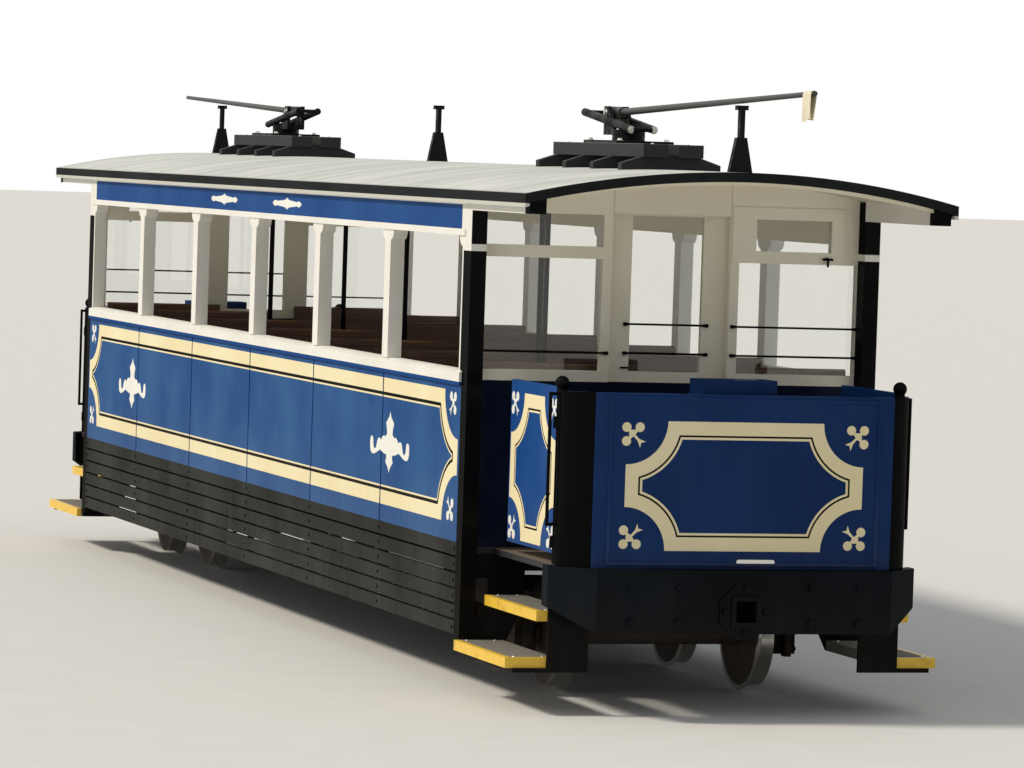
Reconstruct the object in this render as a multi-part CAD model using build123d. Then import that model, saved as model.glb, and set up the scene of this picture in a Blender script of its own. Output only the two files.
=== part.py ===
"""A street-running funicular tramcar: timber saloon body on a steel underframe and two four-wheel bogies.

X runs along the car with the downhill end at +X, Y across it and Z up, in millimetres.
The origin is under the middle of the car, level with the bottoms of the wheel flanges.
"""

from build123d import *
import math
import os

os.makedirs("parts", exist_ok=True)

# Wheels and rails
GAUGE = 1067.0
TREAD_RADIUS = 280.0
FLANGE_DEPTH = 25.0
FLANGE_THICKNESS = 28.0
TYRE_WIDTH = 100.0
TYRE_THICKNESS = 45.0
HUB_RADIUS = 95.0
HUB_LENGTH = 130.0
WHEEL_WEB = 36.0
AXLE_RADIUS = 58.0
JOURNAL_RADIUS = 45.0
JOURNAL_CLEARANCE = 0.05
RAIL_TOP = FLANGE_DEPTH
AXLE_HEIGHT = RAIL_TOP + TREAD_RADIUS

# Floor and underframe
FLOOR_HEIGHT = 746.0
FLOOR_TOP = RAIL_TOP + FLOOR_HEIGHT
FLOOR_THICKNESS = 32.0
SOLEBAR_HEIGHT = 130.0
SOLEBAR_WIDTH = 60.0
SOLEBAR_TOP = FLOOR_TOP - FLOOR_THICKNESS
SOLEBAR_BOTTOM = SOLEBAR_TOP - SOLEBAR_HEIGHT
CENTRE_SILL_Y = 330.0
CENTRE_SILL_WIDTH = 60.0
CROSSBEARER_WIDTH = 60.0
CROSSBEARER_HEIGHT = 90.0
BODY_BOLSTER_WIDTH = 260.0

# Body: six window bays between seven pillars a side
BAYS = 6
BAY_PITCH = 1466.0
SALOON_END = BAYS * BAY_PITCH / 2
BODY_HALF_WIDTH = 1150.0
WALL_THICKNESS = 80.0
BODY_INNER = BODY_HALF_WIDTH - WALL_THICKNESS
SOLEBAR_INSET = 150.0
SOLEBAR_Y = BODY_HALF_WIDTH - SOLEBAR_INSET
PANEL_RISE = 27.0
PANEL_BOTTOM = FLOOR_TOP + PANEL_RISE
WAIST_HEIGHT = 854.0
WAIST = FLOOR_TOP + WAIST_HEIGHT
SILL_HEIGHT = 80.0
SILL_TOP = WAIST + SILL_HEIGHT
SILL_PROUD = 14.0
SILL_SLOPE = 12.0
SILL_SLOPE_DEPTH = 30.0
PANEL_JOINT = 20.0
PANEL_JOINT_DEPTH = 6.0
WINDOW_HEIGHT = 710.0
WINDOW_TOP = SILL_TOP + WINDOW_HEIGHT
TOP_RAIL_HEIGHT = 32.0
TOP_RAIL_PROUD = 8.0
LETTERBOARD_HEIGHT = 162.0
LETTERBOARD_TOP = WINDOW_TOP + LETTERBOARD_HEIGHT
PILLAR_WIDTH = 110.0
PILLAR_BRACKET = 55.0
PILLARS = [(bay - BAYS / 2) * BAY_PITCH for bay in range(BAYS + 1)]

# Corner posts, which run from the steps up to the roof
POST_LENGTH = 100.0
POST_HEIGHT_OFF_RAIL = 250.0
POST_BOTTOM = RAIL_TOP + POST_HEIGHT_OFF_RAIL
POST_INSET = 5.0
POST_INNER = BODY_INNER - POST_INSET

# Bulkheads and their sliding doors
BULKHEAD_THICKNESS = 40.0
BULKHEAD = (SALOON_END - BULKHEAD_THICKNESS, SALOON_END)
DADO_RECESS = 8.0
DADO_MARGIN = 55.0
DOOR_HALF_WIDTH = 365.0
DOOR_THICKNESS = 34.0
DOOR_GAP = 24.0
DOOR_LAP = 30.0
DOOR_HEADROOM = 40.0
DOOR_GLASS_HALF_WIDTH = 202.0
DOOR_END_GAP = 85.0
DOOR_TRAVEL = BODY_INNER - DOOR_HALF_WIDTH - DOOR_END_GAP
DOOR_X = (BULKHEAD[0] - DOOR_GAP - DOOR_THICKNESS, BULKHEAD[0] - DOOR_GAP)
DOOR_RUNNER = (20.0, 8.0)
DOOR_RUNNER_GAP = 0.3
WINDOW_INNER = 385.0
WINDOW_STILE = 14.0
WINDOW_OUTER = BODY_INNER - WINDOW_STILE
WINDOW_SILL = 90.0
WINDOW_BOTTOM = WAIST + WINDOW_SILL
LOWER_LIGHT_HEIGHT = 595.0
TRANSOM_BOTTOM = WINDOW_BOTTOM + LOWER_LIGHT_HEIGHT
TRANSOM_DEPTH = 65.0
TRANSOM_TOP = TRANSOM_BOTTOM + TRANSOM_DEPTH
TOPLIGHT_HEIGHT = 170.0
TOPLIGHT_TOP = TRANSOM_TOP + TOPLIGHT_HEIGHT
TOPLIGHT_INNER_FRAME = 90.0
TOPLIGHT_OUTER_FRAME = 150.0
HOPPER_MARGIN = 65.0
HOPPER_SIDE = 80.0
HOPPER_INNER = 44.0
HOPPER_PROUD = 10.0
HEAD_JOINT = 6.0
DOOR_TOP = TOPLIGHT_TOP + DOOR_HEADROOM
GLASS_THICKNESS = 6.0
GLASS_X = (sum(BULKHEAD) / 2 - GLASS_THICKNESS / 2, sum(BULKHEAD) / 2 + GLASS_THICKNESS / 2)
GUARD_RADIUS = 6.0
GUARD_STAND_OFF = 8.0
GUARD_FOOT = 16.0
GUARD_LAP = 30.0
LOW_GUARD_RISE = 97.0
HIGH_GUARD_RISE = 252.0

# Roof: a flat arch with bowed ends
ROOF_END = 5500.0
ROOF_BOW = 60.0
EAVE_OVERHANG = 31.0
ROOF_HALF_WIDTH = BODY_HALF_WIDTH + EAVE_OVERHANG
EAVE_RISE = 78.0
EAVE_TOP = LETTERBOARD_TOP + EAVE_RISE
ROOF_RISE = 140.0
ROOF_THICKNESS = 26.0
SIDE_FASCIA_DEPTH = 70.0
END_FASCIA_DEPTH = 50.0
FASCIA_THICKNESS = 22.0
CARLINE_DEPTH = 40.0
CARLINE_WIDTH = 50.0
CANT_RAIL_WIDTH = 90.0
CANT_RAIL_DEPTH = 104.0
CANT_RAIL_GAP = 2.0

# Dash, gate posts and gates
DASH_FRONT = 5635.0
DASH_INSET = 200.0
DASH_HALF_WIDTH = BODY_HALF_WIDTH - DASH_INSET
DASH_CORNER_RADIUS = 195.0
DASH_THICKNESS = 30.0
DASH_HEIGHT = 854.0
DASH_RAIL_BOTTOM = FLOOR_TOP + DASH_HEIGHT
DASH_RAIL_HEIGHT = 36.0
DASH_TOP = DASH_RAIL_BOTTOM + DASH_RAIL_HEIGHT
DASH_RAIL_PROUD = 10.0
GATE_POST_RADIUS = 26.0
GATE_POST_X = DASH_FRONT - DASH_CORNER_RADIUS - GATE_POST_RADIUS
GATE_POST_Y = DASH_HALF_WIDTH - GATE_POST_RADIUS
GATE_POST_RISE = 36.0
GATE_POST_TOP = DASH_TOP + GATE_POST_RISE
GATE_POST_KNOB_RADIUS = 34.0
GATE_POST_KNOB_SIDES = 12
GRAB_RADIUS = 9.0
GRAB_STAND_OFF = 60.0
GRAB_BOTTOM_RISE = 204.0
GRAB_TOP_DROP = 56.0
GATE_BOTTOM_GAP = 54.0
GATE_BOTTOM = FLOOR_TOP + GATE_BOTTOM_GAP
GATE_RISE = 14.0
GATE_TOP = DASH_TOP + GATE_RISE
GATE_END_GAP = 122.0
GATE_FREE_END = SALOON_END + POST_LENGTH + GATE_END_GAP
GATE_THICKNESS = 32.0
GATE_EYE_HEIGHT = 60.0
GATE_EYE_WALL = 14.0
GATE_LOWER_EYE_RISE = 30.0
GATE_UPPER_EYE_DROP = 150.0
GATE_EYE_ROOM = 6.0
GATE_EYE_CLEARANCE = 0.06
GATE_POST_GAP = 8.0
GATE_EYE_RADIUS = GATE_POST_RADIUS + GATE_EYE_CLEARANCE + GATE_EYE_WALL
GATE_EYE_BOTTOMS = (GATE_BOTTOM + GATE_LOWER_EYE_RISE, GATE_TOP - GATE_UPPER_EYE_DROP - GATE_EYE_HEIGHT)

# Headstock, the bow-shaped buffer beam, with the pocket for a drawbar
HEADSTOCK_FRONT = 5705.0
HEADSTOCK_OVERHANG = 50.0
HEADSTOCK_HALF_WIDTH = DASH_HALF_WIDTH + HEADSTOCK_OVERHANG
HEADSTOCK_SWEEP = 200.0
HEADSTOCK_FLAT = HEADSTOCK_HALF_WIDTH - HEADSTOCK_SWEEP
HEADSTOCK_SWEPT_X = 5510.0
HEADSTOCK_THICKNESS = 90.0
HEADSTOCK_HEIGHT = 326.0
HEADSTOCK_END_HEIGHT = 206.0
COUPLING_DROP = 211.0
COUPLING_HEIGHT = FLOOR_TOP - COUPLING_DROP
COUPLING_HOLE = 110.0
COUPLING_WALL = 25.0
COUPLING_LENGTH = 150.0
COUPLING_PLATE_RADIUS = 150.0
COUPLING_PLATE_THICKNESS = 12.0

# Steps at the four corners: how far each tread's edge stands out from the body side, its depth and its top
LOWER_STEP_OUT = 30.0
LOWER_STEP_DEPTH = 265.0
LOWER_STEP_HEIGHT = 268.0
UPPER_STEP_IN = 130.0
UPPER_STEP_DEPTH = 220.0
UPPER_STEP_HEIGHT = 507.0
TREAD_THICKNESS = 54.0
STEP_HANGER = 14.0
HANGER_SETBACK = 20.0
STEP_BOARD_IN = 190.0
STEP_BOARD_WIDTH = 220.0
STEP_STRAP = 22.0
STEPS = {
    "lower": dict(
        y=(BODY_HALF_WIDTH + LOWER_STEP_OUT - LOWER_STEP_DEPTH, BODY_HALF_WIDTH + LOWER_STEP_OUT),
        top=RAIL_TOP + LOWER_STEP_HEIGHT,
    ),
    "upper": dict(
        y=(BODY_HALF_WIDTH - UPPER_STEP_IN - UPPER_STEP_DEPTH, BODY_HALF_WIDTH - UPPER_STEP_IN),
        top=RAIL_TOP + UPPER_STEP_HEIGHT,
    ),
}
STEP_X = (SALOON_END + POST_LENGTH + STEP_HANGER, HEADSTOCK_SWEPT_X - HEADSTOCK_THICKNESS - STEP_HANGER)

# Slatted skirts
SLATS = 6
SKIRT_HEIGHT = 486.0
SKIRT_BOTTOM = PANEL_BOTTOM - SKIRT_HEIGHT
SLAT_GAP = 12.0
SLAT_THICKNESS = 24.0
SKIRT_BATTEN = (60.0, 30.0)

# Bogies
BOGIE_CENTRE = 3675.0
WHEELBASE = 1170.0
FRAME_Y = 735.0
FRAME_THICKNESS = 36.0
FRAME_RISE = 240.0
FRAME_TOP = AXLE_HEIGHT + FRAME_RISE
FRAME_DEPTH = 140.0
FRAME_BOTTOM = FRAME_TOP - FRAME_DEPTH
FRAME_NOSE = 40.0
AXLEBOX_LENGTH = 190.0
AXLEBOX_WIDTH = 120.0
AXLEBOX_HEIGHT = 200.0
AXLEBOX_CAP = 15.0
JOURNAL_END_GAP = 5.0
HORN_WIDTH = 60.0
HORN_DROP = 110.0
HORN_BOTTOM = AXLE_HEIGHT - HORN_DROP
HORN_GAP = 0.3
TRANSOM_HEIGHT = 110.0
TRANSOM_WIDTH = 90.0
TRANSOM_X = 190.0
CENTRE_PLATE_RADIUS = 190.0
CENTRE_PLATE_HEIGHT = 40.0
CENTRE_PLATE_TOP = FRAME_TOP + CENTRE_PLATE_HEIGHT
KINGPIN_RADIUS = 35.0
KINGPIN_CLEARANCE = 0.1
KINGPIN_LENGTH = 70.0

# Leaf springs, which stand on the axleboxes outside the frame
SPRING_WIDTH = 40.0
SPRING_LEAVES = 5
SPRING_LEAF = 11.0
SPRING_HALF_LENGTH = 185.0
SPRING_CAMBER = 18.0
SPRING_GAP = 0.3
SPRING_SHOE_LENGTH = 60.0
SPRING_SHOE_HEIGHT = 26.0
FRAME_HALF_LENGTH = WHEELBASE / 2 + SPRING_HALF_LENGTH + SPRING_SHOE_LENGTH / 2

# Roof boards and trolley gear for the line telephone
BOARD_ENDS = (2820.0, 4370.0)
BOARD_WIDTH = 140.0
BOARD_THICKNESS = 70.0
BOARD_Y = 100.0
BOARD_RISE = 205.0
BOARD_BOTTOM = EAVE_TOP + BOARD_RISE
BOARD_TOP = BOARD_BOTTOM + BOARD_THICKNESS
BEARER_PITCH = 500.0
BEARER_WIDTH = 60.0
BEARER_TOE = 110.0
BEARER_FALL = 36.0
TROLLEY_X = 3620.0
BASE_PLATE = (560.0, 330.0, 15.0)
SWIVEL_RADIUS = 90.0
SWIVEL_SEAT_HEIGHT = 35.0
SWIVEL_HEAD_HEIGHT = 40.0
SWIVEL_STUD_RADIUS = 22.0
SWIVEL_STUD_CLEARANCE = 0.08
SWIVEL_STUD_STAND = 60.0
SWIVEL_GAP = 0.5
SWIVEL_BOTTOM = BOARD_TOP + SWIVEL_SEAT_HEIGHT + SWIVEL_GAP
CHEEK_Y = 50.0
CHEEK_THICKNESS = 20.0
CHEEK_MARGIN = 35.0
CHEEK_FOOT = 160.0
CHEEK_RISE = 10.0
POLE_PIVOT_X = 3400.0
POLE_PIVOT_RISE = 168.0
POLE_PIVOT_Z = BOARD_TOP + POLE_PIVOT_RISE
POLE_TIP_X = 6440.0
POLE_TIP_RISE = 99.0
POLE_TIP_Z = POLE_PIVOT_Z + POLE_TIP_RISE
POLE_RADIUS = 20.0
POLE_TIP_RADIUS = 13.0
POLE_SIDES = 12
POLE_SOCKET_RADIUS = 28.0
POLE_SOCKET_LENGTH = 120.0
POLE_EYE_RADIUS = 34.0
POLE_EYE_WIDTH = 70.0
POLE_PIN_RADIUS = 12.0
POLE_PIN_CLEARANCE = 0.06
BARREL_RADIUS = 22.0
BARREL_Y = 66.0
BARREL_HIGH_END = (3050.0, 170.0)
BARREL_LOW_END = (3850.0, 76.0)
BARREL_TIE_RADIUS = 12.0
HOOK_STAND_X = (-5400.0, 0.0, 5400.0)
HOOK_FOOT_WIDTH = 125.0
HOOK_FOOT_LENGTH = 40.0
HOOK_SHOULDER = 180.0
HOOK_SHOULDER_WIDTH = 54.0
HOOK_POST = 26.0
HOOK_SADDLE_WIDTH = 60.0
HOOK_SADDLE_HEIGHT = 24.0
HOOK_CLEARANCE = 5.0

# Benches, back to back at the pillars
BENCH_AISLE = 270.0
BENCH_WALL_GAP = 2.0
SEAT_HEIGHT = 430.0
SEAT_DEPTH = 400.0
SEAT_THICKNESS = 35.0
SEAT_NOSE = 12.0
BACK_HEIGHT = 974.0
BACK_THICKNESS = 32.0
BACK_ROUND = 12.0
END_BENCH_SETBACK = 110.0
BENCH_END_THICKNESS = 34.0
STANCHION_RADIUS = 16.0
STANCHION_GAP = 0.3

# Brake stand behind each dash
BRAKE_STAND_X = 5420.0
BRAKE_BOX_DEPTH = 190.0
BRAKE_BOX_WIDTH = 410.0
BRAKE_BOX_HEIGHT = 150.0
BRAKE_BOX_RISE = 70.0
BRAKE_BOX_TOP = DASH_TOP + BRAKE_BOX_RISE
BRAKE_COLUMN_RADIUS = 70.0

MADE = []


def save(name, shape):
    MADE.append(name)
    export_step(shape, f"parts/{name}.step")


def group(shapes):
    """Solids that don't touch, kept as one piece."""
    return Compound([solid for shape in shapes for solid in shape.solids()])


def block(x, y, z):
    """A block from its low and high place along each axis."""
    centre = Pos(sum(x) / 2, sum(y) / 2, sum(z) / 2)
    return centre * Box(x[1] - x[0], y[1] - y[0], z[1] - z[0])


def along_x(outline, x):
    """An outline of (y, z) points, run from one place on X to another."""
    face = make_face(Plane.YZ * Polyline(*outline, close=True))
    return Pos(x[0], 0, 0) * extrude(face, x[1] - x[0], dir=(1, 0, 0))


def along_y(outline, y):
    """An outline of (x, z) points, run from one place on Y to another."""
    face = make_face(Plane.XZ * Polyline(*outline, close=True))
    return Pos(0, y[0], 0) * extrude(face, y[1] - y[0], dir=(0, 1, 0))


def along_z(outline, z):
    """An outline of (x, y) points, run from one height to another."""
    face = make_face(Polyline(*outline, close=True))
    return Pos(0, 0, z[0]) * extrude(face, z[1] - z[0], dir=(0, 0, 1))


def upright(x, y, z, radius):
    """A round bar standing from one height to another."""
    return Pos(x, y, sum(z) / 2) * Cylinder(radius, z[1] - z[0])


def octagon(radius, centre):
    """Corners of an eight-sided bar's section about a centre, with flats facing along both axes."""
    turns = [math.pi * (2 * corner + 1) / 8 for corner in range(8)]
    return [(centre[0] + radius * math.cos(turn), centre[1] + radius * math.sin(turn)) for turn in turns]


def other_side(shape):
    return mirror(shape, about=Plane.XZ)


def other_end(shape):
    return mirror(shape, about=Plane.YZ)


def both_sides(shape):
    return group([shape, other_side(shape)])


def both_ends(shape):
    return group([shape, other_end(shape)])


def arch_top(y, drop=0.0):
    """Height of the roof's outer face at y, less a drop measured straight down."""
    radius = (ROOF_RISE**2 + ROOF_HALF_WIDTH**2) / (2 * ROOF_RISE)
    return EAVE_TOP + ROOF_RISE - radius + math.sqrt(radius**2 - y**2) - drop


def arch_band(drop, depth, half_width, x):
    """A slice of the roof's arch, from a drop under its outer face and so deep, between two X."""
    top = ThreePointArc(
        (-half_width, arch_top(half_width, drop)),
        (0, arch_top(0, drop)),
        (half_width, arch_top(half_width, drop)),
    )
    low = drop + depth
    bottom = ThreePointArc(
        (half_width, arch_top(half_width, low)),
        (0, arch_top(0, low)),
        (-half_width, arch_top(half_width, low)),
    )
    sides = Line(top @ 1, bottom @ 0) + Line(bottom @ 1, top @ 0)
    face = make_face(Plane.YZ * (top + bottom + sides))
    return Pos(x[0], 0, 0) * extrude(face, x[1] - x[0], dir=(1, 0, 0))


def under_arch(drop, half_width, bottom, x):
    """Everything from a level bottom up to a drop under the roof's outer face."""
    top = ThreePointArc(
        (-half_width, arch_top(half_width, drop)),
        (0, arch_top(0, drop)),
        (half_width, arch_top(half_width, drop)),
    )
    box = Polyline(top @ 1, (half_width, bottom), (-half_width, bottom), top @ 0)
    face = make_face(Plane.YZ * (top + box))
    return Pos(x[0], 0, 0) * extrude(face, x[1] - x[0], dir=(1, 0, 0))


def roof_plan(inset):
    """The roof seen from above, with its bowed ends, drawn in by an inset."""
    half = ROOF_HALF_WIDTH - inset
    end = ROOF_END - inset
    nose = Line((-end, half), (end, half))
    tail = Line((end, -half), (-end, -half))
    front = ThreePointArc((end, half), (end + ROOF_BOW, 0), (end, -half))
    back = ThreePointArc((-end, -half), (-end - ROOF_BOW, 0), (-end, half))
    low = WINDOW_TOP
    face = make_face(nose + front + tail + back)
    return Pos(0, 0, low) * extrude(face, EAVE_TOP + ROOF_RISE - low, dir=(0, 0, 1))


# Wheelsets: two forged wheels pressed on an axle, turned in one profile
WHEEL_BACK = GAUGE / 2 - FLANGE_THICKNESS
JOURNAL_END = FRAME_Y + AXLEBOX_WIDTH / 2 - AXLEBOX_CAP - JOURNAL_END_GAP
FLANGE_RADIUS = TREAD_RADIUS + FLANGE_DEPTH
RIM_RADIUS = TREAD_RADIUS - TYRE_THICKNESS


def wheelset():
    """One turned profile: journal, hub, dished web, rim, tread and flange, mirrored to the other wheel."""
    half = [
        (AXLE_RADIUS, WHEEL_BACK),
        (FLANGE_RADIUS, WHEEL_BACK),
        (TREAD_RADIUS, WHEEL_BACK + FLANGE_THICKNESS),
        (TREAD_RADIUS, WHEEL_BACK + TYRE_WIDTH),
        (RIM_RADIUS, WHEEL_BACK + TYRE_WIDTH),
        (HUB_RADIUS, WHEEL_BACK + WHEEL_WEB),
        (HUB_RADIUS, WHEEL_BACK + HUB_LENGTH),
        (JOURNAL_RADIUS, WHEEL_BACK + HUB_LENGTH),
        (JOURNAL_RADIUS, JOURNAL_END),
        (0, JOURNAL_END),
    ]
    other_half = [(radius, -y) for radius, y in reversed(half)]
    face = make_face(Polyline(*other_half, *half, close=True))
    return revolve(face, Axis.Y, 360)


def bogie_frame():
    """Side plates with horns and spring shoes, joined by transoms and the bolster with its centre plate."""
    opening = AXLEBOX_LENGTH / 2 + HORN_GAP
    outline = [
        (-FRAME_HALF_LENGTH, FRAME_BOTTOM + FRAME_NOSE),
        (-FRAME_HALF_LENGTH, FRAME_TOP),
        (FRAME_HALF_LENGTH, FRAME_TOP),
        (FRAME_HALF_LENGTH, FRAME_BOTTOM + FRAME_NOSE),
    ]
    for axle in (WHEELBASE / 2, -WHEELBASE / 2):
        outline += [
            (axle + opening + HORN_WIDTH, FRAME_BOTTOM),
            (axle + opening + HORN_WIDTH, HORN_BOTTOM),
            (axle + opening, HORN_BOTTOM),
            (axle + opening, AXLEBOX_TOP + HORN_GAP),
            (axle - opening, AXLEBOX_TOP + HORN_GAP),
            (axle - opening, HORN_BOTTOM),
            (axle - opening - HORN_WIDTH, HORN_BOTTOM),
            (axle - opening - HORN_WIDTH, FRAME_BOTTOM),
        ]
    side = along_y(outline, (FRAME_Y - FRAME_THICKNESS / 2, FRAME_OUTER))
    for axle in (WHEELBASE / 2, -WHEELBASE / 2):
        for reach in (-SPRING_HALF_LENGTH, SPRING_HALF_LENGTH):
            shoe = (axle + reach - SPRING_SHOE_LENGTH / 2, axle + reach + SPRING_SHOE_LENGTH / 2)
            height = (SPRING_END_TOP + SPRING_GAP, SPRING_END_TOP + SPRING_GAP + SPRING_SHOE_HEIGHT)
            side += block(shoe, (FRAME_OUTER, SPRING_Y[1]), height)
    inner = FRAME_Y - FRAME_THICKNESS / 2
    depth = (FRAME_TOP - TRANSOM_HEIGHT, FRAME_TOP)
    frame = side + other_side(side)
    for x in (-TRANSOM_X, TRANSOM_X):
        frame += block((x - TRANSOM_WIDTH / 2, x + TRANSOM_WIDTH / 2), (-inner, inner), depth)
    frame += block((-TRANSOM_X, TRANSOM_X), (-inner / 2, inner / 2), depth)
    frame += upright(0, 0, (FRAME_TOP, CENTRE_PLATE_TOP), CENTRE_PLATE_RADIUS)
    return frame - upright(0, 0, (depth[0], CENTRE_PLATE_TOP), KINGPIN_RADIUS + KINGPIN_CLEARANCE)


def axleboxes():
    """Four cast boxes, each bored blind for its journal from the wheel's side."""
    boxes = []
    for x in (-WHEELBASE / 2, WHEELBASE / 2):
        box = Pos(x, FRAME_Y, AXLE_HEIGHT) * Box(AXLEBOX_LENGTH, AXLEBOX_WIDTH, AXLEBOX_HEIGHT)
        bore = Cylinder(JOURNAL_RADIUS + JOURNAL_CLEARANCE, AXLEBOX_WIDTH)
        box -= Pos(x, FRAME_Y - AXLEBOX_CAP, AXLE_HEIGHT) * Rot(90, 0, 0) * bore
        boxes += [box, other_side(box)]
    return group(boxes)


def leaf_spring(x):
    """Curved leaves: the shortest stands on the axlebox, and the longest, on top, meets the shoes."""
    stack = None
    for leaf in range(SPRING_LEAVES):
        half = SPRING_HALF_LENGTH * (leaf + 1) / SPRING_LEAVES
        low = AXLEBOX_TOP + SPRING_GAP + leaf * SPRING_LEAF
        inner = SPRING_RADIUS - leaf * SPRING_LEAF
        rise = [r - math.sqrt(r**2 - half**2) for r in (inner, inner - SPRING_LEAF)]
        bottom = ThreePointArc((x - half, low + rise[0]), (x, low), (x + half, low + rise[0]))
        top_middle = low + SPRING_LEAF
        top_end = top_middle + rise[1]
        top = ThreePointArc((x + half, top_end), (x, top_middle), (x - half, top_end))
        ends = Line(bottom @ 1, top @ 0) + Line(top @ 1, bottom @ 0)
        plate = extrude(make_face(Plane.XZ * (bottom + top + ends)), SPRING_WIDTH, dir=(0, 1, 0))
        stack = plate if stack is None else stack + plate
    return Pos(0, SPRING_Y[0], 0) * stack


def leaf_springs():
    return both_sides(group([leaf_spring(x) for x in (-WHEELBASE / 2, WHEELBASE / 2)]))


AXLEBOX_TOP = AXLE_HEIGHT + AXLEBOX_HEIGHT / 2
FRAME_OUTER = FRAME_Y + FRAME_THICKNESS / 2
SPRING_Y = (FRAME_OUTER + SPRING_GAP, FRAME_OUTER + SPRING_GAP + SPRING_WIDTH)
SPRING_RADIUS = (SPRING_HALF_LENGTH**2 + SPRING_CAMBER**2) / (2 * SPRING_CAMBER)
SPRING_TOP_RADIUS = SPRING_RADIUS - SPRING_LEAVES * SPRING_LEAF
SPRING_END_RISE = SPRING_TOP_RADIUS - math.sqrt(SPRING_TOP_RADIUS**2 - SPRING_HALF_LENGTH**2)
SPRING_END_TOP = AXLEBOX_TOP + SPRING_GAP + SPRING_LEAVES * SPRING_LEAF + SPRING_END_RISE

for end, sign in (("down", 1), ("up", -1)):
    place = Pos(sign * BOGIE_CENTRE, 0, 0)
    save(f"bogie_frame_{end}", place * bogie_frame())
    save(f"axleboxes_{end}", group([place * axleboxes()]))
    save(f"leaf_springs_{end}", group([place * leaf_springs()]))
    for position, x in (("outer", sign * WHEELBASE / 2), ("inner", -sign * WHEELBASE / 2)):
        save(f"wheelset_{end}_{position}", place * Pos(x, 0, AXLE_HEIGHT) * wheelset())

# Underframe: solebars and centre sills, with crossbearers and the bolsters fitted between them
SOLEBAR = (SOLEBAR_Y - SOLEBAR_WIDTH / 2, SOLEBAR_Y + SOLEBAR_WIDTH / 2)
CENTRE_SILL = (CENTRE_SILL_Y - CENTRE_SILL_WIDTH / 2, CENTRE_SILL_Y + CENTRE_SILL_WIDTH / 2)
SILL_HEIGHTS = (SOLEBAR_BOTTOM, SOLEBAR_TOP)


def between_sills(x, z):
    """A cross member in three lengths: between the centre sills, and from each out to its solebar."""
    outer = block(x, (CENTRE_SILL[1], SOLEBAR[0]), z)
    return [block(x, (-CENTRE_SILL[0], CENTRE_SILL[0]), z), outer, other_side(outer)]


def crossbearers():
    shapes = []
    for step in range(-BAYS, BAYS + 1):
        reach = SALOON_END - CROSSBEARER_WIDTH / 2
        x = step * reach / BAYS
        if abs(abs(x) - BOGIE_CENTRE) > (BODY_BOLSTER_WIDTH + CROSSBEARER_WIDTH) / 2:
            span = (x - CROSSBEARER_WIDTH / 2, x + CROSSBEARER_WIDTH / 2)
            shapes += between_sills(span, (SOLEBAR_TOP - CROSSBEARER_HEIGHT, SOLEBAR_TOP))
    return group(shapes)


def body_bolster():
    """Cross member over the bogie, whose middle has the upper centre plate and the kingpin."""
    span = (BOGIE_CENTRE - BODY_BOLSTER_WIDTH / 2, BOGIE_CENTRE + BODY_BOLSTER_WIDTH / 2)
    middle, *outers = between_sills(span, SILL_HEIGHTS)
    middle += upright(BOGIE_CENTRE, 0, (CENTRE_PLATE_TOP, SOLEBAR_BOTTOM), CENTRE_PLATE_RADIUS)
    middle += upright(BOGIE_CENTRE, 0, (CENTRE_PLATE_TOP - KINGPIN_LENGTH, SOLEBAR_BOTTOM), KINGPIN_RADIUS)
    return group([middle, *outers])


SILL_END = HEADSTOCK_FRONT - HEADSTOCK_THICKNESS
save("solebars", both_sides(block((-SALOON_END, SALOON_END), SOLEBAR, SILL_HEIGHTS)))
save("centre_sills", both_sides(block((-SILL_END, SILL_END), CENTRE_SILL, SILL_HEIGHTS)))
save("crossbearers", crossbearers())
save("body_bolsters", both_ends(body_bolster()))

FLOOR = (FLOOR_TOP - FLOOR_THICKNESS, FLOOR_TOP)


def floor():
    """Boards over the saloon and, narrower, over both platforms out to the headstock."""
    half = BODY_HALF_WIDTH - SLAT_THICKNESS
    saloon = block((-SALOON_END, SALOON_END), (-half, half), FLOOR)
    platform = block((SALOON_END, GATE_POST_X), (-DASH_HALF_WIDTH, DASH_HALF_WIDTH), FLOOR)
    platform += dash_outline(0, FLOOR)
    platform -= along_z(HEADSTOCK_PLAN, FLOOR)
    return saloon + platform + other_end(platform)


def dash_outline(inset, z):
    """The rounded front of the platform in plan, back to the gate posts."""
    half = DASH_HALF_WIDTH - inset
    front = DASH_FRONT - inset
    radius = DASH_CORNER_RADIUS - inset
    plan = block((GATE_POST_X, front), (-half, half), z)
    corners = [edge for edge in plan.edges().filter_by(Axis.Z) if edge.center().X > front - 1]
    return fillet(corners, radius)


HEADSTOCK_PLAN = [
    (HEADSTOCK_FRONT, -HEADSTOCK_FLAT),
    (HEADSTOCK_FRONT, HEADSTOCK_FLAT),
    (HEADSTOCK_SWEPT_X, HEADSTOCK_HALF_WIDTH),
    (HEADSTOCK_SWEPT_X - HEADSTOCK_THICKNESS, HEADSTOCK_HALF_WIDTH),
    (HEADSTOCK_FRONT - HEADSTOCK_THICKNESS, HEADSTOCK_FLAT),
    (HEADSTOCK_FRONT - HEADSTOCK_THICKNESS, -HEADSTOCK_FLAT),
    (HEADSTOCK_SWEPT_X - HEADSTOCK_THICKNESS, -HEADSTOCK_HALF_WIDTH),
    (HEADSTOCK_SWEPT_X, -HEADSTOCK_HALF_WIDTH),
]

save("floor", floor())


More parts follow.
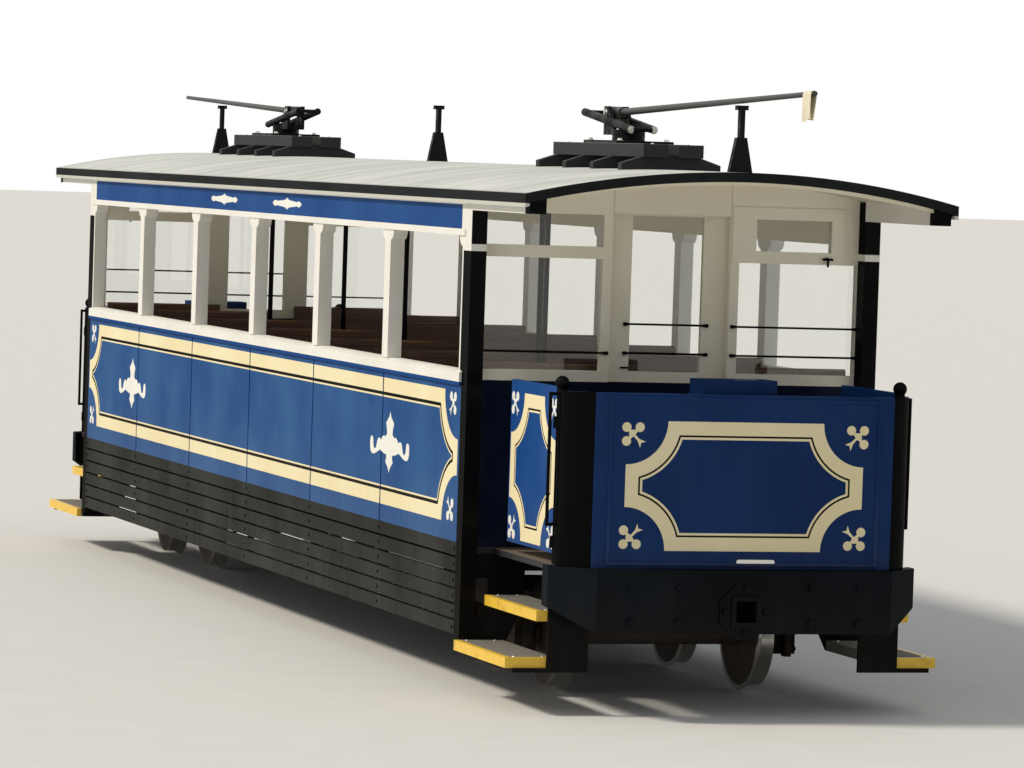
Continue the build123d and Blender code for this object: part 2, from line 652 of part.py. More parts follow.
# Headstocks with the coupling pocket
def headstock():
    bottom = FLOOR_TOP - HEADSTOCK_HEIGHT
    end_bottom = FLOOR_TOP - HEADSTOCK_END_HEIGHT
    front = [
        (-HEADSTOCK_HALF_WIDTH, FLOOR_TOP),
        (HEADSTOCK_HALF_WIDTH, FLOOR_TOP),
        (HEADSTOCK_HALF_WIDTH, end_bottom),
        (HEADSTOCK_FLAT, bottom),
        (-HEADSTOCK_FLAT, bottom),
        (-HEADSTOCK_HALF_WIDTH, end_bottom),
    ]
    beam = along_z(HEADSTOCK_PLAN, (bottom, FLOOR_TOP))
    beam = beam & along_x(front, (HEADSTOCK_SWEPT_X - HEADSTOCK_THICKNESS, HEADSTOCK_FRONT))
    pocket = COUPLING_HOLE / 2 + COUPLING_WALL
    hole = COUPLING_HOLE / 2
    back = HEADSTOCK_FRONT - COUPLING_LENGTH
    mouth = HEADSTOCK_FRONT + COUPLING_WALL
    beam += block((back, mouth), (-pocket, pocket), (COUPLING_HEIGHT - pocket, COUPLING_HEIGHT + pocket))
    hole_z = (COUPLING_HEIGHT - hole, COUPLING_HEIGHT + hole)
    plate = octagon(COUPLING_PLATE_RADIUS, (0, COUPLING_HEIGHT))
    beam += along_x(plate, (HEADSTOCK_FRONT, HEADSTOCK_FRONT + COUPLING_PLATE_THICKNESS))
    return beam - block((back + COUPLING_WALL, mouth), (-hole, hole), hole_z)


def at_both_ends(shape):
    """The shape and its copy turned half round to the other end."""
    return group([shape, Rot(0, 0, 180) * shape])


save("headstocks", at_both_ends(headstock()))


# Body sides
def side_wall():
    """Lower wall with a groove at each pillar, where the outer panels meet."""
    behind_skirt = BODY_HALF_WIDTH - SLAT_THICKNESS
    outline = [(BODY_INNER, FLOOR_TOP), (behind_skirt, FLOOR_TOP), (behind_skirt, PANEL_BOTTOM)]
    outline += [(BODY_HALF_WIDTH, PANEL_BOTTOM), (BODY_HALF_WIDTH, WAIST), (BODY_INNER, WAIST)]
    wall = along_x(outline, (-SALOON_END, SALOON_END))
    for x in PILLARS[1:-1]:
        groove = (x - PANEL_JOINT / 2, x + PANEL_JOINT / 2)
        depth = (BODY_HALF_WIDTH - PANEL_JOINT_DEPTH, BODY_HALF_WIDTH)
        wall -= block(groove, depth, (PANEL_BOTTOM, WAIST))
    return wall


def waist_rail():
    outer = BODY_HALF_WIDTH + SILL_PROUD
    outline = [(BODY_INNER, WAIST), (outer, WAIST), (outer, SILL_TOP - SILL_SLOPE)]
    outline += [(outer - SILL_SLOPE_DEPTH, SILL_TOP), (BODY_INNER, SILL_TOP)]
    return along_x(outline, (-SALOON_END, SALOON_END))


def pillar(x):
    """A window pillar whose head flares out in two quarter-round brackets."""
    half = PILLAR_WIDTH / 2
    neck = WINDOW_TOP - PILLAR_BRACKET
    left = Line((x - half, SILL_TOP), (x - half, neck))
    left_arc = RadiusArc((x - half, neck), (x - half - PILLAR_BRACKET, WINDOW_TOP), PILLAR_BRACKET)
    right = Line((x + half, SILL_TOP), (x + half, neck))
    right_arc = RadiusArc((x + half, neck), (x + half + PILLAR_BRACKET, WINDOW_TOP), -PILLAR_BRACKET)
    head = Line((x - half - PILLAR_BRACKET, WINDOW_TOP), (x + half + PILLAR_BRACKET, WINDOW_TOP))
    foot = Line((x - half, SILL_TOP), (x + half, SILL_TOP))
    face = make_face(Plane.XZ * (left + left_arc + head + right_arc + right + foot))
    return Pos(0, BODY_HALF_WIDTH, 0) * extrude(face, WALL_THICKNESS, dir=(0, -1, 0))


def pillars():
    shapes = [pillar(x) for x in PILLARS[1:-1]]
    half = block((-SALOON_END, SALOON_END), (0, BODY_HALF_WIDTH), (SILL_TOP, WINDOW_TOP))
    shapes += [pillar(x) & half for x in (PILLARS[0], PILLARS[-1])]
    return group(shapes)


def letterboard():
    """Rail over the windows, the board above it and the cove that meets the eave."""
    rail = BODY_HALF_WIDTH + TOP_RAIL_PROUD
    rail_top = WINDOW_TOP + TOP_RAIL_HEIGHT
    outline = [
        (BODY_INNER, WINDOW_TOP),
        (rail, WINDOW_TOP),
        (rail, rail_top),
        (BODY_HALF_WIDTH, rail_top),
        (BODY_HALF_WIDTH, LETTERBOARD_TOP),
        (rail, LETTERBOARD_TOP + TOP_RAIL_PROUD),
        (rail, arch_top(rail, ROOF_THICKNESS)),
        (BODY_INNER, arch_top(BODY_INNER, ROOF_THICKNESS)),
    ]
    return along_x(outline, (-SALOON_END, SALOON_END))


save("side_walls", both_sides(side_wall()))
save("waist_rails", both_sides(waist_rail()))
save("pillars", both_sides(pillars()))
save("letterboards", both_sides(letterboard()))


def corner_post():
    """Stands against the saloon's end, from beside the steps to the roof."""
    x = (SALOON_END, SALOON_END + POST_LENGTH)
    post = under_arch(ROOF_THICKNESS, BODY_HALF_WIDTH, POST_BOTTOM, x)
    return post & block(x, (POST_INNER, BODY_HALF_WIDTH), (POST_BOTTOM, EAVE_TOP))


save("corner_posts", both_ends(both_sides(corner_post())))


# Bulkheads between saloon and platforms
LIGHTS = [
    dict(y=(-WINDOW_OUTER, -WINDOW_INNER), z=(WINDOW_BOTTOM, TRANSOM_BOTTOM)),
    dict(y=(WINDOW_INNER, WINDOW_OUTER), z=(WINDOW_BOTTOM, TRANSOM_BOTTOM)),
    dict(y=(-WINDOW_OUTER, -WINDOW_INNER), z=(TRANSOM_TOP, TOPLIGHT_TOP)),
    dict(
        y=(WINDOW_INNER + TOPLIGHT_INNER_FRAME, WINDOW_OUTER - TOPLIGHT_OUTER_FRAME),
        z=(TRANSOM_TOP, TOPLIGHT_TOP),
    ),
]
HOPPER_Y = (WINDOW_INNER - HOPPER_INNER, WINDOW_OUTER - HOPPER_SIDE)
HOPPER_Z = (TRANSOM_TOP - HOPPER_MARGIN, TOPLIGHT_TOP + HOPPER_MARGIN)
WINDOW_GUARDS = [
    dict(y=(-POST_INNER, GUARD_LAP - WINDOW_INNER), rise=LOW_GUARD_RISE),
    dict(y=(WINDOW_INNER - GUARD_LAP, POST_INNER), rise=LOW_GUARD_RISE),
    dict(y=(WINDOW_INNER - GUARD_LAP, POST_INNER), rise=HIGH_GUARD_RISE),
]


def guard_rail(face_x, span, z):
    """A bar across a light, standing off the woodwork on a foot at each end."""
    bar = along_y(octagon(GUARD_RADIUS, (face_x + GUARD_STAND_OFF, z)), span)
    half = GUARD_FOOT / 2
    for foot in (span[0] + half, span[1] - half):
        x = (face_x, face_x + GUARD_STAND_OFF + GUARD_RADIUS)
        bar += block(x, (foot - half, foot + half), (z - half, z + half))
    return bar


def bulkhead():
    """Panelled wall with a doorway, four lights, one in a hopper frame, and bars across the lower two."""
    wall = under_arch(ROOF_THICKNESS, BODY_INNER, FLOOR_TOP, BULKHEAD)
    wall += block((SALOON_END, SALOON_END + HOPPER_PROUD), HOPPER_Y, HOPPER_Z)
    doorway = DOOR_HALF_WIDTH - DOOR_LAP
    wall -= block(BULKHEAD, (-doorway, doorway), (FLOOR_TOP, DOOR_TOP - DOOR_LAP))
    for y in ((-doorway, HEAD_JOINT - doorway), (doorway - HEAD_JOINT, doorway)):
        joint = (SALOON_END - HEAD_JOINT, SALOON_END)
        wall -= block(joint, y, (DOOR_TOP - DOOR_LAP, EAVE_TOP + ROOF_RISE))
    for y in ((-WINDOW_OUTER, -WINDOW_INNER), (WINDOW_INNER, WINDOW_OUTER)):
        recess = (SALOON_END - DADO_RECESS, SALOON_END)
        wall -= block(recess, y, (FLOOR_TOP + DADO_MARGIN, WAIST - DADO_MARGIN))
    for light in LIGHTS:
        wall -= block((BULKHEAD[0], SALOON_END + HOPPER_PROUD), light["y"], light["z"])
    for guard in WINDOW_GUARDS:
        wall += guard_rail(SALOON_END, guard["y"], WINDOW_BOTTOM + guard["rise"])
    return wall


def bulkhead_glass():
    return group([block(GLASS_X, light["y"], light["z"]) for light in LIGHTS])


DOOR_LIGHT = (-DOOR_GLASS_HALF_WIDTH, DOOR_GLASS_HALF_WIDTH)
DOOR_GUARD = (DOOR_LIGHT[0] - GUARD_LAP, DOOR_LIGHT[1] + GUARD_LAP)


def saloon_door():
    """Sliding door on the saloon side of the bulkhead, with a tall light barred twice."""
    height = (FLOOR_TOP + DOOR_RUNNER[1] + DOOR_RUNNER_GAP, DOOR_TOP)
    leaf = block(DOOR_X, (-DOOR_HALF_WIDTH, DOOR_HALF_WIDTH), height)
    leaf -= block(DOOR_X, DOOR_LIGHT, (WINDOW_BOTTOM, TOPLIGHT_TOP))
    recess = (DOOR_X[1] - DADO_RECESS, DOOR_X[1])
    leaf -= block(recess, DOOR_LIGHT, (FLOOR_TOP + 2 * DADO_MARGIN, WAIST - DADO_MARGIN))
    for rise in (LOW_GUARD_RISE, HIGH_GUARD_RISE):
        leaf += guard_rail(DOOR_X[1], DOOR_GUARD, WINDOW_BOTTOM + rise)
    return leaf


def door_runner():
    """Strip on the floor that the door slides along."""
    width, height = DOOR_RUNNER
    middle = sum(DOOR_X) / 2
    travel = (-DOOR_HALF_WIDTH, DOOR_HALF_WIDTH + DOOR_TRAVEL)
    return block((middle - width / 2, middle + width / 2), travel, (FLOOR_TOP, FLOOR_TOP + height))


def door_glass():
    middle = sum(DOOR_X) / 2
    pane = (middle - GLASS_THICKNESS / 2, middle + GLASS_THICKNESS / 2)
    return block(pane, DOOR_LIGHT, (WINDOW_BOTTOM, TOPLIGHT_TOP))


for end, turn in (("down", 0), ("up", 180)):
    save(f"saloon_door_{end}", Rot(0, 0, turn) * saloon_door())
    save(f"door_glass_{end}", Rot(0, 0, turn) * door_glass())

save("bulkheads", at_both_ends(bulkhead()))
save("bulkhead_glass", at_both_ends(bulkhead_glass()))
save("door_runners", at_both_ends(door_runner()))

# Roof
FULL_LENGTH = (-ROOF_END - ROOF_BOW, ROOF_END + ROOF_BOW)
ROOF_BAND = (WINDOW_TOP, EAVE_TOP + ROOF_RISE)
save("roof", arch_band(0, ROOF_THICKNESS, ROOF_HALF_WIDTH, FULL_LENGTH) & roof_plan(FASCIA_THICKNESS))
rim = roof_plan(0) - roof_plan(FASCIA_THICKNESS)
EAVE_INNER = ROOF_HALF_WIDTH - FASCIA_THICKNESS
eaves = rim - block(FULL_LENGTH, (-EAVE_INNER, EAVE_INNER), ROOF_BAND)
end_bows = arch_band(0, END_FASCIA_DEPTH, ROOF_HALF_WIDTH, FULL_LENGTH) & rim
save("fascia", end_bows + (arch_band(0, SIDE_FASCIA_DEPTH, ROOF_HALF_WIDTH, FULL_LENGTH) & eaves))


def carlines():
    """Bent ribs under the roof, at the pillars and over the platforms."""
    ribs = []
    for x in PILLARS[1:-1]:
        span = (x - CARLINE_WIDTH / 2, x + CARLINE_WIDTH / 2)
        ribs.append(arch_band(ROOF_THICKNESS, CARLINE_DEPTH, BODY_INNER, span))
    for sign in (1, -1):
        x = sign * (ROOF_END - FASCIA_THICKNESS - CARLINE_WIDTH)
        span = (x - CARLINE_WIDTH / 2, x + CARLINE_WIDTH / 2)
        ribs.append(arch_band(ROOF_THICKNESS, CARLINE_DEPTH, BODY_HALF_WIDTH - CANT_RAIL_WIDTH, span))
    return group(ribs)


save("carlines", carlines())


def cant_rail():
    """Longitudinal under the roof's edge, from the corner post to the end of the platform."""
    x = (SALOON_END + POST_LENGTH, ROOF_END - FASCIA_THICKNESS - CANT_RAIL_GAP)
    bottom = EAVE_TOP - CANT_RAIL_DEPTH
    y = (BODY_HALF_WIDTH - CANT_RAIL_WIDTH, BODY_HALF_WIDTH)
    rail = under_arch(ROOF_THICKNESS, BODY_HALF_WIDTH, bottom, x)
    return rail & block(x, y, (bottom, EAVE_TOP + ROOF_RISE))


save("cant_rails", both_ends(both_sides(cant_rail())))


# Dash, gate posts and gates
def dash():
    z = (FLOOR_TOP, DASH_RAIL_BOTTOM)
    cap = (DASH_RAIL_BOTTOM, DASH_TOP)
    shell = dash_outline(0, z) - dash_outline(DASH_THICKNESS, z)
    return shell + (dash_outline(0, cap) - dash_outline(DASH_THICKNESS + DASH_RAIL_PROUD, cap))


def gate_post():
    """Round post with a ball on top and a grab rail bent out from its outer side."""
    post = upright(GATE_POST_X, GATE_POST_Y, (FLOOR_TOP, GATE_POST_TOP), GATE_POST_RADIUS)
    belt = RegularPolygon(GATE_POST_KNOB_RADIUS, GATE_POST_KNOB_SIDES)
    crown = RegularPolygon(GATE_POST_KNOB_RADIUS / 2, GATE_POST_KNOB_SIDES)
    reach = GATE_POST_KNOB_RADIUS * math.sqrt(3) / 2
    for sign in (-1, 1):
        half_ball = loft([belt, Pos(0, 0, sign * reach) * crown], ruled=True)
        post += Pos(GATE_POST_X, GATE_POST_Y, GATE_POST_TOP) * half_ball
    grab_y = GATE_POST_Y + GRAB_STAND_OFF
    low, high = FLOOR_TOP + GRAB_BOTTOM_RISE, GATE_POST_TOP - GRAB_TOP_DROP
    post += along_z(octagon(GRAB_RADIUS, (GATE_POST_X, grab_y)), (low - GRAB_RADIUS, high + GRAB_RADIUS))
    for z in (low, high):
        post += along_y(octagon(GRAB_RADIUS, (GATE_POST_X, z)), (GATE_POST_Y, grab_y))
    return post


def dash_clear_of_posts():
    behind_posts = (GATE_POST_X + GATE_POST_RADIUS, DASH_FRONT)
    shape = dash() & block(behind_posts, (-DASH_HALF_WIDTH, DASH_HALF_WIDTH), (FLOOR_TOP, DASH_TOP))
    for z in GATE_EYE_BOTTOMS:
        height = (z - GATE_EYE_ROOM, z + GATE_EYE_HEIGHT + GATE_EYE_ROOM)
        room = upright(GATE_POST_X, GATE_POST_Y, height, GATE_EYE_RADIUS + GATE_EYE_ROOM)
        shape = shape - room - other_side(room)
    return shape


def gate():
    """A leaf hung on its post by two eyes, closing towards the saloon."""
    near = GATE_POST_X - GATE_POST_RADIUS - GATE_POST_GAP
    y = (GATE_POST_Y - GATE_THICKNESS / 2, GATE_POST_Y + GATE_THICKNESS / 2)
    leaf = block((GATE_FREE_END, near), y, (GATE_BOTTOM, GATE_TOP))
    bore = GATE_POST_RADIUS + GATE_EYE_CLEARANCE
    for z in GATE_EYE_BOTTOMS:
        height = (z, z + GATE_EYE_HEIGHT)
        leaf += upright(GATE_POST_X, GATE_POST_Y, height, GATE_EYE_RADIUS)
        leaf += block((near - 1, GATE_POST_X), y, height)
        leaf -= upright(GATE_POST_X, GATE_POST_Y, height, bore)
    return leaf


save("dashes", at_both_ends(dash_clear_of_posts()))
save("gate_posts", both_ends(both_sides(gate_post())))
for end, to_end in (("down", lambda shape: shape), ("up", other_end)):
    for side, to_side in (("left", other_side), ("right", lambda shape: shape)):
        save(f"gate_{end}_{side}", to_end(to_side(gate())))


def brake_stand():
    """Pedestal with a flat-topped cabinet behind the dash."""
    box_bottom = BRAKE_BOX_TOP - BRAKE_BOX_HEIGHT
    column = upright(BRAKE_STAND_X, 0, (FLOOR_TOP, box_bottom), BRAKE_COLUMN_RADIUS)
    return column + block(
        (BRAKE_STAND_X - BRAKE_BOX_DEPTH / 2, BRAKE_STAND_X + BRAKE_BOX_DEPTH / 2),
        (-BRAKE_BOX_WIDTH / 2, BRAKE_BOX_WIDTH / 2),
        (box_bottom, BRAKE_BOX_TOP),
    )


save("brake_stands", both_ends(brake_stand()))


# Steps
def step_treads():
    treads = []
    for step in STEPS.values():
        treads.append(block(STEP_X, step["y"], (step["top"] - TREAD_THICKNESS, step["top"])))
    return group(treads)


def step_hangers():
    """A stepped plate behind the treads, and ahead of them a wide board with a strap under the lower one."""
    lower, upper = STEPS["lower"], STEPS["upper"]
    top = SOLEBAR_TOP
    lower_bottom = lower["top"] - TREAD_THICKNESS
    upper_bottom = upper["top"] - TREAD_THICKNESS
    behind = [
        (upper["y"][0], top),
        (upper["y"][1] - HANGER_SETBACK, top),
        (upper["y"][1] - HANGER_SETBACK, upper_bottom),
        (lower["y"][1] - 2 * HANGER_SETBACK, lower["top"]),
        (lower["y"][1] - 2 * HANGER_SETBACK, lower_bottom),
        (lower["y"][0], lower_bottom),
        (upper["y"][0], upper_bottom),
    ]
    board_outer = BODY_HALF_WIDTH - STEP_BOARD_IN
    ahead = [
        (board_outer - STEP_BOARD_WIDTH, top),
        (board_outer, top),
        (board_outer, lower_bottom),
        (lower["y"][1] - 2 * HANGER_SETBACK, lower_bottom),
        (lower["y"][1] - 2 * HANGER_SETBACK, lower_bottom - STEP_STRAP),
        (board_outer - STEP_BOARD_WIDTH, lower_bottom - STEP_STRAP),
    ]
    back = along_x(behind, (STEP_X[0] - STEP_HANGER, STEP_X[0]))
    return group([back, along_x(ahead, (STEP_X[1], STEP_X[1] + STEP_HANGER))])


save("step_treads", both_ends(both_sides(step_treads())))
save("step_hangers", both_ends(both_sides(step_hangers())))


# Skirts
def skirt():
    top = PANEL_BOTTOM
    pitch = (top - SKIRT_BOTTOM + SLAT_GAP) / SLATS
    outer = BODY_HALF_WIDTH
    inner = outer - SLAT_THICKNESS
    shape = None
    for row in range(SLATS):
        low = SKIRT_BOTTOM + row * pitch
        slat = block((-SALOON_END, SALOON_END), (inner, outer), (low, low + pitch - SLAT_GAP))
        shape = slat if shape is None else shape + slat
    width, depth = SKIRT_BATTEN
    for x in PILLARS:
        middle = max(-SALOON_END + width / 2, min(SALOON_END - width / 2, x))
        span = (middle - width / 2, middle + width / 2)
        shape += block(span, (inner - depth, inner), (SKIRT_BOTTOM, SOLEBAR_TOP))
    return shape


save("skirts", both_sides(skirt()))


# Benches: each has a back with a seat on one or both sides, and an end panel under each seat
BENCHES = [dict(x=PILLARS[0] + END_BENCH_SETBACK + BULKHEAD_THICKNESS, facing=(1,))]
BENCHES += [dict(x=x, facing=(1, -1)) for x in PILLARS[1:-1]]
BENCHES += [dict(x=PILLARS[-1] - END_BENCH_SETBACK - BULKHEAD_THICKNESS, facing=(-1,))]
BENCH_Y = (BENCH_AISLE, BODY_INNER - BENCH_WALL_GAP)
SEAT_TOP = FLOOR_TOP + SEAT_HEIGHT


def seat_span(bench, direction):
    """Low and high X of the seat on one side of a bench's back."""
    return sorted(bench["x"] + direction * reach for reach in (BACK_THICKNESS / 2, SEAT_DEPTH))


def bench_back(x):
    """Upright board with a rounded top edge."""
    half = BACK_THICKNESS / 2
    board = block((x - half, x + half), BENCH_Y, (FLOOR_TOP, FLOOR_TOP + BACK_HEIGHT))
    return chamfer(board.edges().filter_by(Axis.Y).group_by(Axis.Z)[-1], BACK_ROUND)


def seat(bench, direction):
    """Seat board with its front edge taken off."""
    span = seat_span(bench, direction)
    board = block(span, BENCH_Y, (SEAT_TOP - SEAT_THICKNESS, SEAT_TOP))
    reach = {edge: abs(edge.center().X - bench["x"]) for edge in board.edges().filter_by(Axis.Y)}
    return chamfer([edge for edge, distance in reach.items() if distance > SEAT_DEPTH - SEAT_NOSE], SEAT_NOSE)


def bench_backs():
    return group([bench_back(bench["x"]) for bench in BENCHES])


def bench_seats():
    return group([seat(bench, side) for bench in BENCHES for side in bench["facing"]])


def bench_ends():
    y = (BENCH_AISLE, BENCH_AISLE + BENCH_END_THICKNESS)
    z = (FLOOR_TOP, SEAT_TOP - SEAT_THICKNESS)
    return group([block(seat_span(bench, side), y, z) for bench in BENCHES for side in bench["facing"]])


save("bench_backs", both_sides(bench_backs()))
save("bench_seats", both_sides(bench_seats()))
save("bench_ends", both_sides(bench_ends()))


def stanchions():
    poles = []
    y = BENCH_AISLE - STANCHION_RADIUS * math.cos(math.pi / 8) - STANCHION_GAP
    top = arch_top(y + STANCHION_RADIUS, ROOF_THICKNESS + CARLINE_DEPTH) - STANCHION_GAP
    for x in PILLARS[1:-1]:
        poles.append(along_z(octagon(STANCHION_RADIUS, (x, y)), (FLOOR_TOP, top)))
    return both_sides(group(poles))


save("stanchions", stanchions())


# Roof gear
def roof_boards():
    """Two boards under the trolley gear, on bearers whose ends slope down to the roof."""
    across = (BOARD_Y - BOARD_WIDTH / 2, BOARD_Y + BOARD_WIDTH / 2)
    board = block(BOARD_ENDS, across, (BOARD_BOTTOM, BOARD_TOP))
    deck = board + other_side(board)
    toe = across[1] + BEARER_TOE
    half = [(toe, EAVE_TOP), (toe, BOARD_BOTTOM - BEARER_FALL), (across[1], BOARD_BOTTOM)]
    outline = half + [(-y, z) for y, z in reversed(half)]
    length = BOARD_ENDS[1] - BOARD_ENDS[0] - 2 * BEARER_WIDTH
    count = int(length // BEARER_PITCH) + 1
    for number in range(count + 1):
        x = BOARD_ENDS[0] + BEARER_WIDTH + number * length / count
        span = (x - BEARER_WIDTH / 2, x + BEARER_WIDTH / 2)
        deck += along_x(outline, span) - under_arch(0, ROOF_HALF_WIDTH, LETTERBOARD_TOP, span)
    return deck


def trolley_base():
    """Fixed plate across the boards with the seat and stud that the swivel turns on."""
    length, width, thickness = BASE_PLATE
    seat_top = BOARD_TOP + SWIVEL_SEAT_HEIGHT
    x = (TROLLEY_X - length / 2, TROLLEY_X + length / 2)
    plate = block(x, (-width / 2, width / 2), (BOARD_TOP, BOARD_TOP + thickness))
    plate += upright(TROLLEY_X, 0, (BOARD_TOP, seat_top), SWIVEL_RADIUS)
    return plate + upright(TROLLEY_X, 0, (BOARD_TOP, seat_top + SWIVEL_STUD_STAND), SWIVEL_STUD_RADIUS)


def bar_between(low, high, y, radius):
    """A round bar in the plane of one Y, between two (x, z) points."""
    run = high[0] - low[0]
    lift = high[1] - low[1]
    bar = Rot(0, 90 - math.degrees(math.atan2(lift, run)), 0) * Cylinder(radius, math.hypot(run, lift))
    return Pos((low[0] + high[0]) / 2, y, (low[1] + high[1]) / 2) * bar


def trolley_swivel():
    """Turning head with two cheeks for the pole's pivot pin, and the pair of sloping spring barrels."""
    floor_z = SWIVEL_BOTTOM + CHEEK_RISE
    head_top = SWIVEL_BOTTOM + SWIVEL_HEAD_HEIGHT
    outer = CHEEK_Y + CHEEK_THICKNESS / 2
    head = upright(TROLLEY_X, 0, (SWIVEL_BOTTOM, head_top), SWIVEL_RADIUS)
    head += block((POLE_PIVOT_X - CHEEK_MARGIN, TROLLEY_X), (-outer, outer), (floor_z, head_top))
    profile = [
        (POLE_PIVOT_X - CHEEK_MARGIN, floor_z),
        (POLE_PIVOT_X - CHEEK_MARGIN, POLE_PIVOT_Z + CHEEK_MARGIN),
        (POLE_PIVOT_X + CHEEK_MARGIN, POLE_PIVOT_Z + CHEEK_MARGIN),
        (POLE_PIVOT_X + CHEEK_FOOT, floor_z),
    ]
    cheek = along_y(profile, (outer - CHEEK_THICKNESS, outer))
    head = head + cheek + other_side(cheek)
    head += Pos(POLE_PIVOT_X, 0, POLE_PIVOT_Z) * Rot(90, 0, 0) * Cylinder(POLE_PIN_RADIUS, 2 * outer)
    ends = [(x, BOARD_TOP + rise) for x, rise in (BARREL_HIGH_END, BARREL_LOW_END)]
    barrel = bar_between(ends[0], ends[1], BARREL_Y, BARREL_RADIUS)
    head = head + barrel + other_side(barrel)
    for x, z in ends:
        head += Pos(x, 0, z) * Rot(90, 0, 0) * Cylinder(BARREL_TIE_RADIUS, 2 * BARREL_Y)
    bore = SWIVEL_STUD_RADIUS + SWIVEL_STUD_CLEARANCE
    return head - upright(TROLLEY_X, 0, (SWIVEL_BOTTOM, SWIVEL_BOTTOM + SWIVEL_STUD_STAND), bore)


def trolley_pole():
    """Tapered pole, many-sided, in the round socket that turns on the pivot pin."""
    run = POLE_TIP_X - POLE_PIVOT_X
    lift = POLE_TIP_Z - POLE_PIVOT_Z
    length = math.hypot(run, lift)
    slope = math.degrees(math.atan2(lift, run))
    foot = Pos(POLE_SOCKET_LENGTH / 2, 0, 0) * (Plane.YZ * RegularPolygon(POLE_RADIUS, POLE_SIDES))
    tip = Pos(length, 0, 0) * (Plane.YZ * RegularPolygon(POLE_TIP_RADIUS, POLE_SIDES))
    socket = Rot(0, 90, 0) * Cylinder(POLE_SOCKET_RADIUS, POLE_SOCKET_LENGTH)
    tube = loft([foot, tip], ruled=True) + Pos(POLE_SOCKET_LENGTH / 2, 0, 0) * socket
    eye = Rot(90, 0, 0) * Cylinder(POLE_EYE_RADIUS, POLE_EYE_WIDTH)
    bore = Rot(90, 0, 0) * Cylinder(POLE_PIN_RADIUS + POLE_PIN_CLEARANCE, POLE_EYE_WIDTH)
    pole = tube + eye - bore
    return Pos(POLE_PIVOT_X, 0, POLE_PIVOT_Z) * Rot(0, -slope, 0) * pole


def pole_height(x):
    return POLE_PIVOT_Z + (POLE_TIP_Z - POLE_PIVOT_Z) * (x - POLE_PIVOT_X) / (POLE_TIP_X - POLE_PIVOT_X)


def hook_stand(x):
    """Tapered foot, slim post and the small flat head under the pole."""
    foot = arch_top(HOOK_FOOT_WIDTH)
    top = pole_height(HOOK_STAND_X[2]) - POLE_RADIUS - HOOK_CLEARANCE
    half = [
        (HOOK_FOOT_WIDTH / 2, foot),
        (HOOK_SHOULDER_WIDTH / 2, foot + HOOK_SHOULDER),
        (HOOK_POST / 2, foot + HOOK_SHOULDER),
        (HOOK_POST / 2, top - HOOK_SADDLE_HEIGHT),
        (HOOK_SADDLE_WIDTH / 2, top - HOOK_SADDLE_HEIGHT),
        (HOOK_SADDLE_WIDTH / 2, top),
    ]
    outline = half + [(-y, z) for y, z in reversed(half)]
    length = (x - HOOK_FOOT_LENGTH / 2, x + HOOK_FOOT_LENGTH / 2)
    return along_x(outline, length) - under_arch(0, ROOF_HALF_WIDTH, LETTERBOARD_TOP, length)


save("roof_boards", both_ends(roof_boards()))
save("hook_stands", group([hook_stand(x) for x in HOOK_STAND_X]))
save("trolley_bases", both_ends(trolley_base()))
for end, to_end in (("down", lambda shape: shape), ("up", other_end)):
    save(f"trolley_swivel_{end}", to_end(trolley_swivel()))
    save(f"trolley_pole_{end}", to_end(trolley_pole()))

print(len(MADE), "pieces")
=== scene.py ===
"""Finishes for a street-running funicular tramcar, in the order in which such a car is put together."""

import math

import bmesh
import bpy
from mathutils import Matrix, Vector


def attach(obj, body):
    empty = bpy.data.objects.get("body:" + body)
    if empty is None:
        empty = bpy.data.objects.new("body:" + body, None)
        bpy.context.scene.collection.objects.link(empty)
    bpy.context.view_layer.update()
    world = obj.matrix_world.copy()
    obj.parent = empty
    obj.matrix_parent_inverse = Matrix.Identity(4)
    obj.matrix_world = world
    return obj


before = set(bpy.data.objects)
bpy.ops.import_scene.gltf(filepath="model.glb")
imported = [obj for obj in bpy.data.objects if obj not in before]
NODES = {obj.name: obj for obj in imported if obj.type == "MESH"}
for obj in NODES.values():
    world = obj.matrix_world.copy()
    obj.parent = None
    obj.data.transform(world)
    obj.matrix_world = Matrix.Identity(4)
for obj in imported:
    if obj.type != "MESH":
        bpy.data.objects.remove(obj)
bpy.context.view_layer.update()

# Studio: a pale floor under the wheels, one broad lamp on the side the sun came from, and a pale sky.
# The camera stands where the photograph's camera stood, with a longer lens.
RAIL_TOP = 0.025

camera = bpy.data.cameras.new("camera")
camera.lens = 176.4
camera.clip_start = 1.0
camera.clip_end = 400.0
viewpoint = bpy.data.objects.new("camera", camera)
viewpoint.location = (29.632, -8.9054, 2.8292)
viewpoint.rotation_euler = [math.radians(turn) for turn in (87.4232, -1.8956, 72.4212)]
bpy.context.scene.collection.objects.link(viewpoint)
bpy.context.scene.camera = viewpoint
bpy.context.scene.view_settings.view_transform = "Standard"


def linear(code):
    """An sRGB hex colour as linear red, green, blue and alpha."""
    shares = [int(code[place : place + 2], 16) / 255 for place in (0, 2, 4)]
    return [s / 12.92 if s <= 0.04045 else ((s + 0.055) / 1.055) ** 2.4 for s in shares] + [1.0]


def give(tree, node, inputs):
    """Sets inputs to values or links them to outputs; a node stands for its first output in use."""
    for socket, value in inputs.items():
        if isinstance(value, bpy.types.Node):
            value = next(output for output in value.outputs if output.enabled)
        if isinstance(value, bpy.types.NodeSocket):
            tree.links.new(value, node.inputs[socket])
        else:
            node.inputs[socket].default_value = value


def add(tree, kind, inputs=None, **settings):
    """Adds a node with its settings and its inputs."""
    node = tree.nodes.new(kind)
    for setting, value in settings.items():
        setattr(node, setting, value)
    give(tree, node, inputs or {})
    return node


def blend(tree, share, under, over):
    """Mixes two colours, each a hex code or an output; at a share of 1 only the second shows."""
    shades = [linear(shade) if isinstance(shade, str) else shade for shade in (under, over)]
    return add(tree, "ShaderNodeMix", {"Factor": share, "A": shades[0], "B": shades[1]}, data_type="RGBA")


